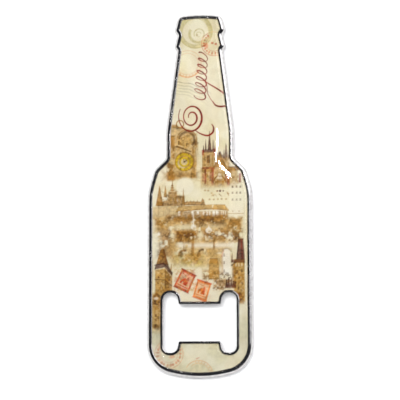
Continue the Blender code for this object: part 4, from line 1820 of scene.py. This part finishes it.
        for x, y, half in ((-2.49, -13.55, 1.04), (3.61, -14.92, 1.28), (-16.28, -16.52, 0.64)):
            c.blob((x, y), (half, half * 0.9), Ink.PALE, 0.8, 0.4)
            c.blob((x + 0.3, y - 0.5), (half * 0.5, half * 0.4), Ink.SAND, 0.5, 0.5)
            foot, tip = y + half * 0.6, y + half * 1.9
            c.shape([(x - 0.35, foot), (x + 0.35, foot), (x, tip)], Ink.PALE, 0.7)
        c.stroke([(-2.49, -13.15), (-2.57, -7.14)], (0.5, 0.2), Ink.PALE, 0.55, smooth=False)
        chance = np.random.default_rng(97)
        for _ in range(90):
            at = (chance.uniform(-17.48, 17.0), chance.uniform(-19.97, -9.54))
            size = (chance.uniform(0.18, 0.42), chance.uniform(0.15, 0.35))
            c.blob(at, size, chance.choice([Ink.CREAM, Ink.UMBER, Ink.SAND]), 0.45, 0.25)

    def bridge(self) -> None:
        """Paints an old bridge that fades into mist."""
        c = self.canvas
        c.mottle((-13.0, -30.5), (13.5, -17.0), Ink.SAND, 0.62, 2.4, 99, 0.66, 2.6)
        c.mottle((-9.46, -22.38), (13.79, -19.33), Ink.PALE, 0.7, 3.0, 101, 0.8, 1.6)
        c.mottle((-11.07, -32.0), (2.57, -23.18), Ink.OLIVE, 0.5, 2.0, 103, 0.62, 3.0)
        c.panel((-6.02, -26.79), (-0.24, -24.14), Ink.SAND, 0.8, 1.0)
        c.stroke([(-2.73, -19.57), (-2.81, -24.38)], (0.9, 1.4), Ink.OCHRE, 0.65, 0.4)
        c.stroke([(5.69, -17.96), (5.69, -21.97)], (0.6, 0.9), Ink.OCHRE, 0.6, 0.4)
        c.ring((-6.5, -24.54), 1.68, 0.8, Ink.OCHRE, 0.75, (60, 200), 0.5)
        c.blob((-7.22, -24.14), (0.64, 1.28), Ink.UMBER, 0.55, 0.5)
        c.blob((-5.85, -22.94), (0.6, 0.44), Ink.MAROON, 0.45, 0.4)
        c.stroke([(-6.42, -22.22), (-6.26, -20.61)], (0.5, 0.2), Ink.OCHRE, 0.5)
        c.ring((1.52, -24.78), 2.25, 0.76, Ink.UMBER, 0.62, (84, 196), 0.45)
        c.blob((0.0, -24.62), (0.56, 1.12), Ink.OCHRE, 0.55, 0.5)
        c.shape(
            [(1.36, -25.18), (2.17, -23.02), (4.73, -21.81), (6.98, -23.02), (7.3, -25.98)], Ink.SAND,
            0.5, 0.7,
        )
        c.mottle((-9.06, -29.19), (1.36, -23.58), Ink.OCHRE, 0.45, 1.5, 105, 0.44, 2.4)
        c.blob((-3.85, -30.4), (4.81, 1.6), Ink.PALE, 0.35, 2.0)
        c.blob((-7.86, -30.8), (3.21, 3.21), Ink.CREAM, 0.4, 2.4)

    def masonry(self, low: Place, high: Place, seed: int, courses: float = 1.1) -> None:
        """Roughens a wall with stone courses and stained blocks.

        Args:
            low: the wall's lower corner.
            high: its upper corner.
            seed: which stones.
            courses: height of a course.
        """
        c = self.canvas
        c.mottle(low, high, Ink.OCHRE, 0.55, 0.8, seed, 0.42, 0.4)
        c.mottle(low, high, Ink.CREAM, 0.35, 0.9, seed + 3, 0.3, 0.4)
        for y in np.arange(low[1], high[1], courses):
            c.stroke([(low[0], y), (high[0], y)], (0.14,), Ink.UMBER, 0.22, smooth=False)

    def corner_tower(self) -> None:
        """Paints the steep-roofed tower at the lower left and the wall under it, with a painted highlight on
        the tower's top.
        """
        c = self.canvas
        c.panel((-19.73, -32.4), (-18.53, -26.79), Ink.BRICK, 0.28, 0.8)
        c.shape(
            [(-17.64, -40.42), (-17.64, -30.4), (-13.87, -29.83), (-10.91, -32.4), (-10.91, -39.22),
            (-13.07, -39.14), (-15.24, -40.82)], Ink.SAND, 0.92, 0.3,
        )
        c.shape(
            [(-13.71, -39.22), (-13.79, -29.59), (-10.91, -32.0), (-10.91, -39.22)], Ink.OCHRE, 0.42, 0.3,
        )
        self.masonry((-17.48, -39.62), (-11.07, -30.8), 111)
        c.shape(
            [(-17.24, -28.15), (-15.72, -22.78), (-14.84, -22.05), (-14.12, -22.3), (-12.91, -26.79),
            (-12.35, -28.55)], Ink.OCHRE, 0.85, 0.25,
        )
        c.shape(
            [(-14.6, -22.22), (-14.12, -22.3), (-12.35, -28.55), (-13.79, -27.83)], Ink.MAROON, 0.42, 0.3,
        )
        c.mottle((-17.08, -28.39), (-12.67, -22.38), Ink.UMBER, 0.42, 0.7, 113, 0.42, 0.6)
        c.shape(
            [(-17.88, -30.32), (-17.48, -28.23), (-14.44, -27.51), (-12.51, -28.55), (-10.75, -31.84),
            (-10.99, -33.04), (-14.04, -29.51)], Ink.MAROON, 0.72, 0.3,
        )
        c.stroke(
            [(-17.8, -28.63), (-14.28, -27.99), (-10.91, -31.68)], (0.5, 0.5), Ink.SEPIA, 0.55, 0.25,
            False,
        )
        c.stroke(
            [(-17.8, -30.56), (-13.95, -29.83), (-10.91, -33.12)], (0.4, 0.4), Ink.CREAM, 0.4, 0.25,
            False,
        )
        c.stroke([(-11.39, -30.4), (-11.23, -27.83)], (0.6, 0.1), Ink.OCHRE, 0.7)
        c.stroke(
            [(-17.72, -34.17), (-13.71, -34.57), (-11.07, -36.81)], (0.34,), Ink.UMBER, 0.62, 0.2, False,
        )
        c.stroke([(-13.71, -30.16), (-13.63, -38.82)], (0.3,), Ink.UMBER, 0.45, 0.2, False)
        for x, y, size in (
            (-16.36, -33.44, 0.42), (-12.11, -34.57, 0.4), (-16.44, -35.85, 0.2), (-12.43, -37.37, 0.3)
        ):
            c.blob((x, y), (size, size * 0.8), Ink.MAROON, 0.75, 0.25)
        c.shape(
            [(-18.77, -55.66), (-18.77, -40.42), (-17.24, -38.82), (-15.48, -41.22), (-15.56, -55.66)],
            Ink.SAND, 0.78, 1.2,
        )
        c.shape(
            [(-18.69, -44.43), (-18.29, -40.42), (-16.92, -39.22), (-15.64, -41.62), (-15.64, -44.27)],
            Ink.OCHRE, 0.6, 0.4,
        )
        # Painted highlight: a pale spot where the dome reflects a small light, painted into the print among
        # the tower's dark marks.
        c.blob((-17.32, -41.78), (0.8, 0.6), Ink.PALE, 0.55, 0.3)
        for x, y in (
            (-17.88, -40.9), (-16.28, -40.82), (-17.64, -42.83), (-16.28, -43.23), (-17.0, -40.18)
        ):
            c.blob((x, y), (0.55, 0.5), Ink.UMBER, 0.6, 0.4)
        c.stroke([(-18.53, -43.47), (-15.72, -44.67)], (0.4,), Ink.MAROON, 0.55, 0.2, False)
        c.mottle((-19.09, -55.26), (-15.32, -43.63), Ink.OCHRE, 0.62, 1.2, 115, 0.5, 1.6)
        c.mottle((-19.09, -55.66), (-15.32, -50.04), Ink.UMBER, 0.5, 1.4, 117, 0.52, 1.6)
        for y in (-48.52, -50.21, -52.29):
            c.panel((-17.8, y - 0.52), (-16.92, y + 0.52), Ink.UMBER, 0.62, 0.3)
        c.stroke([(-16.36, -44.43), (-16.44, -53.25)], (0.3,), Ink.OCHRE, 0.55, 0.3, False)
        c.blob((-17.24, -55.66), (2.41, 1.8), Ink.GREY_CREAM, 0.7, 1.6)

    def small_towers(self) -> None:
        """Paints the low roofs and the two small towers in the middle."""
        c = self.canvas
        c.shape(
            [(3.45, -34.41), (3.69, -27.59), (4.17, -26.07), (6.98, -26.07), (7.62, -28.39),
            (7.86, -34.41)], Ink.SAND, 0.85, 0.4,
        )
        c.shape([(3.69, -28.15), (4.17, -26.15), (6.98, -26.15), (7.54, -28.15)], Ink.OCHRE, 0.45, 0.3)
        c.stroke([(4.17, -26.15), (6.98, -26.15)], (0.4,), Ink.UMBER, 0.45, 0.2, False)
        c.mottle((0.56, -35.21), (8.98, -29.99), Ink.OCHRE, 0.6, 1.1, 121, 0.52, 1.4)
        c.mottle((0.96, -35.21), (9.38, -32.0), Ink.UMBER, 0.4, 0.9, 123, 0.42, 1.2)
        c.mottle((4.97, -39.22), (12.99, -33.6), Ink.OCHRE, 0.7, 1.0, 125, 0.56, 1.2)
        c.mottle((5.17, -38.82), (12.59, -34.0), Ink.UMBER, 0.45, 0.8, 127, 0.42, 1.2)
        c.shape(
            [(8.74, -32.4), (8.74, -24.78), (9.62, -22.54), (10.75, -22.22), (12.03, -23.02),
            (12.35, -32.4)], Ink.PALE, 0.75, 0.6,
        )
        c.ring((10.67, -24.38), 2.17, 0.5, Ink.SMOKE, 0.42, (20, 175), 0.4)
        c.stroke([(8.9, -25.18), (9.06, -32.4)], (0.5, 0.8), Ink.OCHRE, 0.45, 0.5)
        c.stroke([(8.82, -25.18), (9.46, -23.02)], (0.5, 0.4), Ink.BRICK, 0.42, 0.5)
        for y in (-24.78, -27.75, -31.04):
            c.panel((9.46, y - 0.56), (9.9, y + 0.56), Ink.UMBER, 0.6, 0.25)
        c.mottle((7.78, -35.61), (13.39, -31.2), Ink.UMBER, 0.5, 0.8, 129, 0.46, 0.9)
        c.stroke([(1.36, -34.17), (8.58, -34.09)], (0.34,), Ink.UMBER, 0.4, 0.3, False)
        c.blob((5.61, -37.77), (0.5, 0.5), Ink.UMBER, 0.5, 0.3)
        c.blob((7.22, -37.61), (0.5, 0.5), Ink.UMBER, 0.5, 0.3)

    def gate_tower(self) -> None:
        """Paints the tall gate tower at the lower right, with stone figures at its foot."""
        c = self.canvas
        c.shape(
            [(13.55, -40.42), (13.31, -28.39), (13.79, -26.39), (17.64, -26.39), (17.8, -43.23),
            (15.8, -41.62)], Ink.SAND, 0.92, 0.3,
        )
        c.shape([(12.91, -38.01), (12.83, -28.39), (14.2, -27.59), (14.44, -38.01)], Ink.OCHRE, 0.6, 0.3)
        self.masonry((13.23, -41.22), (17.72, -26.79), 131, 1.5)
        c.shape(
            [(14.44, -26.63), (15.24, -18.45), (17.24, -18.37), (17.72, -25.18), (17.72, -26.63)],
            Ink.MAROON, 0.82, 0.25,
        )
        c.stroke([(16.44, -18.69), (16.84, -25.98)], (0.5, 0.7), Ink.BRICK, 0.5, 0.3)
        c.stroke([(15.56, -19.17), (14.92, -25.58)], (0.4,), Ink.SEPIA, 0.5, 0.3)
        c.panel((15.16, -18.85), (17.32, -18.13), Ink.UMBER, 0.6, 0.2)
        c.stroke([(12.75, -27.43), (12.91, -23.98)], (0.55, 0.12), Ink.MAROON, 0.75)
        c.panel((12.51, -27.83), (17.8, -26.55), Ink.MAROON, 0.66, 0.3)
        c.stroke([(12.75, -28.79), (13.87, -27.75)], (0.7, 0.5), Ink.SEPIA, 0.6, 0.3)
        for x in (14.36, 15.48, 16.6):
            c.panel((x - 0.32, -29.27), (x + 0.32, -28.07), Ink.CREAM, 0.55, 0.25)
        for x, y in (
            (14.84, -31.36), (16.6, -31.04), (15.56, -33.84), (14.2, -35.61), (16.84, -36.01),
            (15.32, -38.01)
        ):
            c.blob((x, y), (0.4, 0.6), Ink.UMBER, 0.62, 0.3)
        c.mottle((13.39, -44.43), (17.88, -38.01), Ink.OCHRE, 0.75, 1.1, 133, 0.6, 1.0)
        c.mottle((13.95, -43.63), (17.88, -39.22), Ink.MAROON, 0.62, 0.9, 135, 0.5, 0.9)
        c.panel((9.94, -37.69), (14.36, -37.13), Ink.MAROON, 0.66, 0.3)
        c.panel((9.78, -38.5), (13.79, -37.85), Ink.CREAM, 0.6, 0.3)
        for x, top in (
            (10.67, -34.73), (11.55, -33.76), (12.43, -34.81), (13.23, -35.29), (13.95, -35.53)
        ):
            neck = top - 0.3
            c.shape(
                [(x - 0.5, -37.21), (x + 0.5, -37.21), (x + 0.22, neck), (x - 0.22, neck)], Ink.MAROON,
                0.8, 0.2,
            )
            c.blob((x, top), (0.3, 0.32), Ink.MAROON, 0.8, 0.2)

    def stamp(self, corners: Sequence[Place], ink: Ink, dark: Ink, seed: int) -> None:
        """Prints a blank stamp: a frame, a toned field and a little roofed house.

        Args:
            corners: its four corners, from the top left, clockwise.
            ink: the frame's ink.
            dark: the ink of its heavier strokes.
            seed: which worn patches.
        """
        c = self.canvas
        ends = np.array(corners)
        middle = ends.mean(0)
        c.shape([tuple(p) for p in ends], ink, 0.85, 0.2)
        inner = middle + (ends - middle) * 0.76
        c.shape([tuple(p) for p in inner], Ink.CREAM, 0.6, 0.2)
        c.mottle(tuple(ends.min(0)), tuple(ends.max(0)), ink, 0.3, 0.8, seed, 0.4, 0.6)
        across, down = (inner[1] - inner[0]) / 2, (inner[3] - inner[0]) / 2

        def spot(u: float, v: float) -> Place:
            """A place in the field, from -1 to 1 each way."""
            return tuple(middle + across * u + down * v)

        c.shape(
            [spot(-0.72, 0.55), spot(-0.72, 0.05), spot(-0.1, -0.42), spot(0.5, 0.05), spot(0.5, 0.55)],
            ink, 0.85, 0.2,
        )
        c.shape(
            [spot(0.1, 0.55), spot(0.1, -0.3), spot(0.35, -0.8), spot(0.62, -0.3), spot(0.62, 0.55)],
            dark, 0.65, 0.2,
        )
        c.shape(
            [spot(-0.4, 0.55), spot(-0.4, 0.2), spot(-0.15, 0.2), spot(-0.15, 0.55)], Ink.CREAM, 0.6,
            0.15,
        )
        c.stroke([spot(-0.9, 0.78), spot(0.9, 0.78)], (0.42,), ink, 0.8, 0.2, False)
        c.stroke([spot(-0.9, -0.88), spot(-0.1, -0.7), spot(0.2, -0.95)], (0.3,), ink, 0.6, 0.2)
        c.stroke([tuple(ends[0]), tuple(ends[1])], (0.62,), dark, 0.7, 0.2, False)
        c.stroke([tuple(ends[3]), tuple(ends[2])], (0.4,), dark, 0.55, 0.2, False)

    def stamps(self) -> None:
        """Prints the two stamps."""
        c = self.canvas
        c.blob((-5.45, -36.01), (5.61, 5.21), Ink.PALE, 0.3, 3.0)
        self.stamp(
            [(-6.98, -30.08), (-1.52, -32.88), (-4.57, -39.78), (-10.35, -36.97)], Ink.VERMILION,
            Ink.BRICK, 141,
        )
        c.mottle((-10.43, -39.62), (-1.44, -29.99), Ink.SAND, 0.45, 0.7, 145, 0.42, 0.5)
        self.stamp(
            [(-0.8, -34.41), (4.57, -36.17), (2.57, -43.07), (-2.81, -41.14)], Ink.ORANGE, Ink.VERMILION,
            143,
        )

    def low_marks(self) -> None:
        """Prints the two postmarks under the opening."""
        c = self.canvas
        self.postmark((-12.11, -63.52), 5.61, Ink.VERMILION, 0.5, (-75, 60), 151)
        self.postmark((-12.11, -63.52), 5.61, Ink.VERMILION, 0.4, (120, 285), 153)
        c.blob((-10.83, -64.88), (1.2, 0.56), Ink.VERMILION, 0.35, 0.4, 0.2)
        middle = (-0.4, -71.7)
        c.ring(middle, 5.53, 0.3, Ink.ORANGE, 0.42, (10, 150))
        c.ring(middle, 4.41, 0.25, Ink.ORANGE, 0.32, (10, 130))
        for turn in range(20, 110, 14):
            spot = math.radians(turn)
            c.blob(around(middle, 4.97, spot), (0.3, 0.22), Ink.ORANGE, 0.36, 0.2, spot)
        c.stroke([(-1.28, -65.52), (-0.08, -65.04)], (0.5, 0.3), Ink.VERMILION, 0.42)

    def flourish(self) -> None:
        """Draws a pen flourish up the neck: a scroll, a row of coils and two sweeps, which spell nothing."""
        draw = self.canvas.stroke
        ink, strength, soft = Ink.BRICK, 1.0, 0.22
        coils = self._coils((0.0, 38.4), (1.5, 56.2), 7, (1.25, 2.5))
        draw(coils, (0.22, 0.52) * 7, ink, strength, soft, False)
        scroll = self._scroll((-3.3, 30.6), (5.3, 6.4), 2.1)
        draw(scroll, (0.25, 0.85, 0.4, 0.75, 0.3), ink, strength, soft, False)
        foot = [(-1.6, 25.2), (0.16, 23.98), (3.13, 23.1), (5.21, 24.38), (5.53, 26.31), (4.81, 27.67)]
        for places, widths in (
            (foot, (0.26, 0.67, 0.74, 0.3)),
            ([(1.52, 45.55), (4.17, 43.79), (7.38, 41.78), (10.75, 39.14)], (0.26, 0.52, 0.67)),
            ([(5.61, 36.17), (3.37, 39.78), (2.81, 43.79), (2.17, 46.2)], (0.2, 0.24, 0.2)),
            ([(10.83, 35.21), (8.42, 34.81), (6.34, 35.37), (5.21, 36.97)], (0.74, 0.67, 0.3)),
        ):
            draw(places, widths, ink, strength, soft)

    @staticmethod
    def _coils(start: Place, end: Place, count: int, reach: tuple[float, float]) -> list[Place]:
        """Points of a row of looped coils.

        Args:
            start: middle of the first coil.
            end: middle of the last coil.
            count: how many coils.
            reach: half a coil's extent along the row and across it.

        Returns:
            The points, in order.
        """
        slant, narrowing, points_each = 0.35, 0.25, 26
        way = Vector(end) - Vector(start)
        along, across = way.normalized(), Vector((-way.y, way.x)).normalized()
        across = (across + slant * along).normalized()
        found = []
        for turn in np.linspace(0.0, math.tau * count, points_each * count):
            share = turn / (math.tau * count)
            waist = 1.0 - narrowing * share
            back, aside = -reach[0] * math.sin(turn) * waist, reach[1] * math.cos(turn) * waist
            found.append((Vector(start) + way * share + (along * back + across * aside)).to_tuple())
        return found

    @staticmethod
    def _scroll(middle: Place, reach: Place, turns: float) -> list[Place]:
        """Points of an oval scroll that winds inwards.

        Args:
            middle: its middle.
            reach: its two half-axes at its outer end.
            turns: how many times it winds.

        Returns:
            The points, in order.
        """
        first_turn, shrinking, count = 2.6, 0.78, 70
        found = []
        for share in np.linspace(0.0, 1.0, count):
            turn = math.tau * turns * share + first_turn
            wide, high = (half * (1.0 - shrinking * share) for half in reach)
            found.append((middle[0] + wide * math.cos(turn), middle[1] + high * math.sin(turn)))
        return found


# ------------------------------------------------------------
# Studio
# ------------------------------------------------------------


@dataclass(frozen=True)
class SoftLight:
    """A rectangular light: where it stands, where it points, its two sides and its power in watts."""

    name: str
    place: tuple[float, float, float]
    aim: tuple[float, float, float]
    sides: tuple[float, float]
    watts: float
    mirrored: bool = True
    color: Color = (1.0, 1.0, 1.0)

    def build(self) -> None:
        """Puts the light in the scene, out of the camera's sight."""
        data = bpy.data.lights.new(self.name, "AREA")
        data.shape = "RECTANGLE"
        data.size, data.size_y = self.sides
        data.energy = self.watts
        data.color = self.color
        lamp = bpy.data.objects.new(self.name, data)
        bpy.context.scene.collection.objects.link(lamp)
        lamp.location = self.place
        turn = Vector(self.aim) - Vector(self.place)
        lamp.rotation_euler = turn.to_track_quat("-Z", "Y").to_euler()
        lamp.visible_camera = False
        lamp.visible_glossy = self.mirrored
        lamp.visible_transmission = False
        LOG.info("%s: %.1f W", self.name, self.watts)


@dataclass(frozen=True)
class Studio:
    """A pale floor, soft light and a camera that looks down, a little from the lower right."""

    distance: float = 0.62
    lean: tuple[float, float] = (math.radians(5.0), math.radians(-7.0))
    view_share: float = 1.091
    off_centre: tuple[float, float] = (0.0, -0.0026)
    floor_side: float = 3.0
    floor_tone: Color = (0.93, 0.93, 0.93)
    floor_roughness: float = 0.9
    backdrop: Color = (0.93, 0.93, 0.93)
    sky: Color = (0.03, 0.032, 0.038)
    walls: Color = (0.95, 0.95, 0.94)
    dim_walls: Color = (0.3, 0.3, 0.29)
    glass: Color = (2.2, 2.2, 2.3)
    bright_side: Color = (0.75, -0.66, 0.0)
    glass_side: Color = (0.72, 0.54, 0.43)
    wall_turn: tuple[float, float] = (-0.4, 0.5)
    wall_top: tuple[float, float] = (0.0, 0.1)
    glass_edge: tuple[float, float] = (0.835, 0.87)
    lights: tuple[SoftLight, ...] = (
        SoftLight("key", (-0.32, 0.34, 0.75), (0.0, 0.0, 0.0), (0.5, 0.5), 5.7, mirrored=False),
        SoftLight("fill", (0.1, -0.1, 1.3), (0.0, 0.0, 0.0), (1.5, 1.5), 14.4, mirrored=False),
        SoftLight("upper_window", (0.004, 0.104, 0.5), (0.0, 0.0, 0.0), (0.011, 0.016), 0.03),
        SoftLight("lower_window", (-0.002, 0.089, 0.5), (0.0, 0.0, 0.0), (0.006, 0.009), 0.012),
    )

    def build(self, low: Vector, high: Vector) -> None:
        """Builds the studio round the object's box."""
        self._floor()
        self._sky()
        for light in self.lights:
            light.build()
        self._camera(low, high)
        bpy.context.scene.view_settings.view_transform = "Standard"

    def _floor(self) -> None:
        """Lays the floor."""
        half = self.floor_side / 2
        mesh = bpy.data.meshes.new("floor")
        corners = [(-half, -half, 0.0), (half, -half, 0.0), (half, half, 0.0), (-half, half, 0.0)]
        mesh.from_pydata(corners, [], [(0, 1, 2, 3)])
        floor = bpy.data.objects.new("floor", mesh)
        bpy.context.scene.collection.objects.link(floor)
        material, _, shader = new_material("floor")
        shader.inputs["Base Color"].default_value = (*self.floor_tone, 1.0)
        shader.inputs["Roughness"].default_value = self.floor_roughness
        shader.inputs["Specular IOR Level"].default_value = 0.0
        wear_material(floor, material)

    def _sky(self) -> None:
        """Sets the even light of the room."""
        world = bpy.data.worlds.new("room")
        world.use_nodes = True
        graph = Graph(world.node_tree)
        heading = graph.add("TexCoord").outputs["Generated"]
        rise = graph.add("SeparateXYZ", {"Vector": heading}).outputs["Z"]
        lit, glazed = (
            graph.add("VectorMath", {0: heading, 1: side}, operation="DOT_PRODUCT").outputs["Value"]
            for side in (self.bright_side, self.glass_side)
        )
        wall = graph.mix(graph.ramp(lit, *self.wall_turn), self.dim_walls, self.walls)
        room = graph.mix(graph.ramp(rise, *self.wall_top), wall, self.sky)
        color = graph.mix(graph.ramp(glazed, *self.glass_edge), room, self.glass)
        seen = graph.mix(graph.add("LightPath").outputs["Is Camera Ray"], color, self.backdrop)
        graph.wire(world.node_tree.nodes["Background"], {"Color": seen})
        bpy.context.scene.world = world

    def _camera(self, low: Vector, high: Vector) -> None:
        """Hangs the camera over the object."""
        data = bpy.data.cameras.new("camera")
        camera = bpy.data.objects.new("camera", data)
        bpy.context.scene.collection.objects.link(camera)
        aim = (low + high) / 2 + Vector((*self.off_centre, 0.0))
        away = Vector((math.tan(self.lean[0]), math.tan(self.lean[1]), 1.0)).normalized()
        camera.location = aim + away * self.distance
        across = Vector((0.0, 1.0, 0.0)).cross(away).normalized()
        camera.rotation_euler = Matrix((across, away.cross(across), away)).transposed().to_euler()
        data.lens = data.sensor_width * self.distance / ((high.y - low.y) * self.view_share)
        bpy.context.scene.camera = camera


def main() -> None:
    """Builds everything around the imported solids."""
    logging.basicConfig(level=logging.INFO, format="%(name)s: %(message)s")
    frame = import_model()
    low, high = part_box("opener_body")
    outer = BottleShape().outline(low, high)
    hole = OpeningShape().outline(low)
    Studio().build(low, high)
    magnets = [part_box(name) for name in ("magnet_upper", "magnet_lower")]
    radius = (magnets[0][1].x - magnets[0][0].x) / 2
    PlatedBody(outer, hole, high.z).build(radius, [(a.y + b.y) / 2 for a, b in magnets])
    PrintedCard(outer, hole).build()
    ClearDome(outer, hole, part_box("resin_dome")[1].z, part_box("printed_picture")[1].z).build()
    DiscMagnets().build()
    film = MilkyLayer("film", (0.75, 0.74, 0.70), (0.62, 0.60, 0.55))
    glue = MilkyLayer("glue", (0.70, 0.66, 0.52), (0.58, 0.53, 0.38))
    wear_material(frame["nodes"]["picture_film"], film.material())
    for name in ("magnet_glue_upper", "magnet_glue_lower"):
        wear_material(frame["nodes"][name], glue.material())


if __name__ == "__main__":
    main()
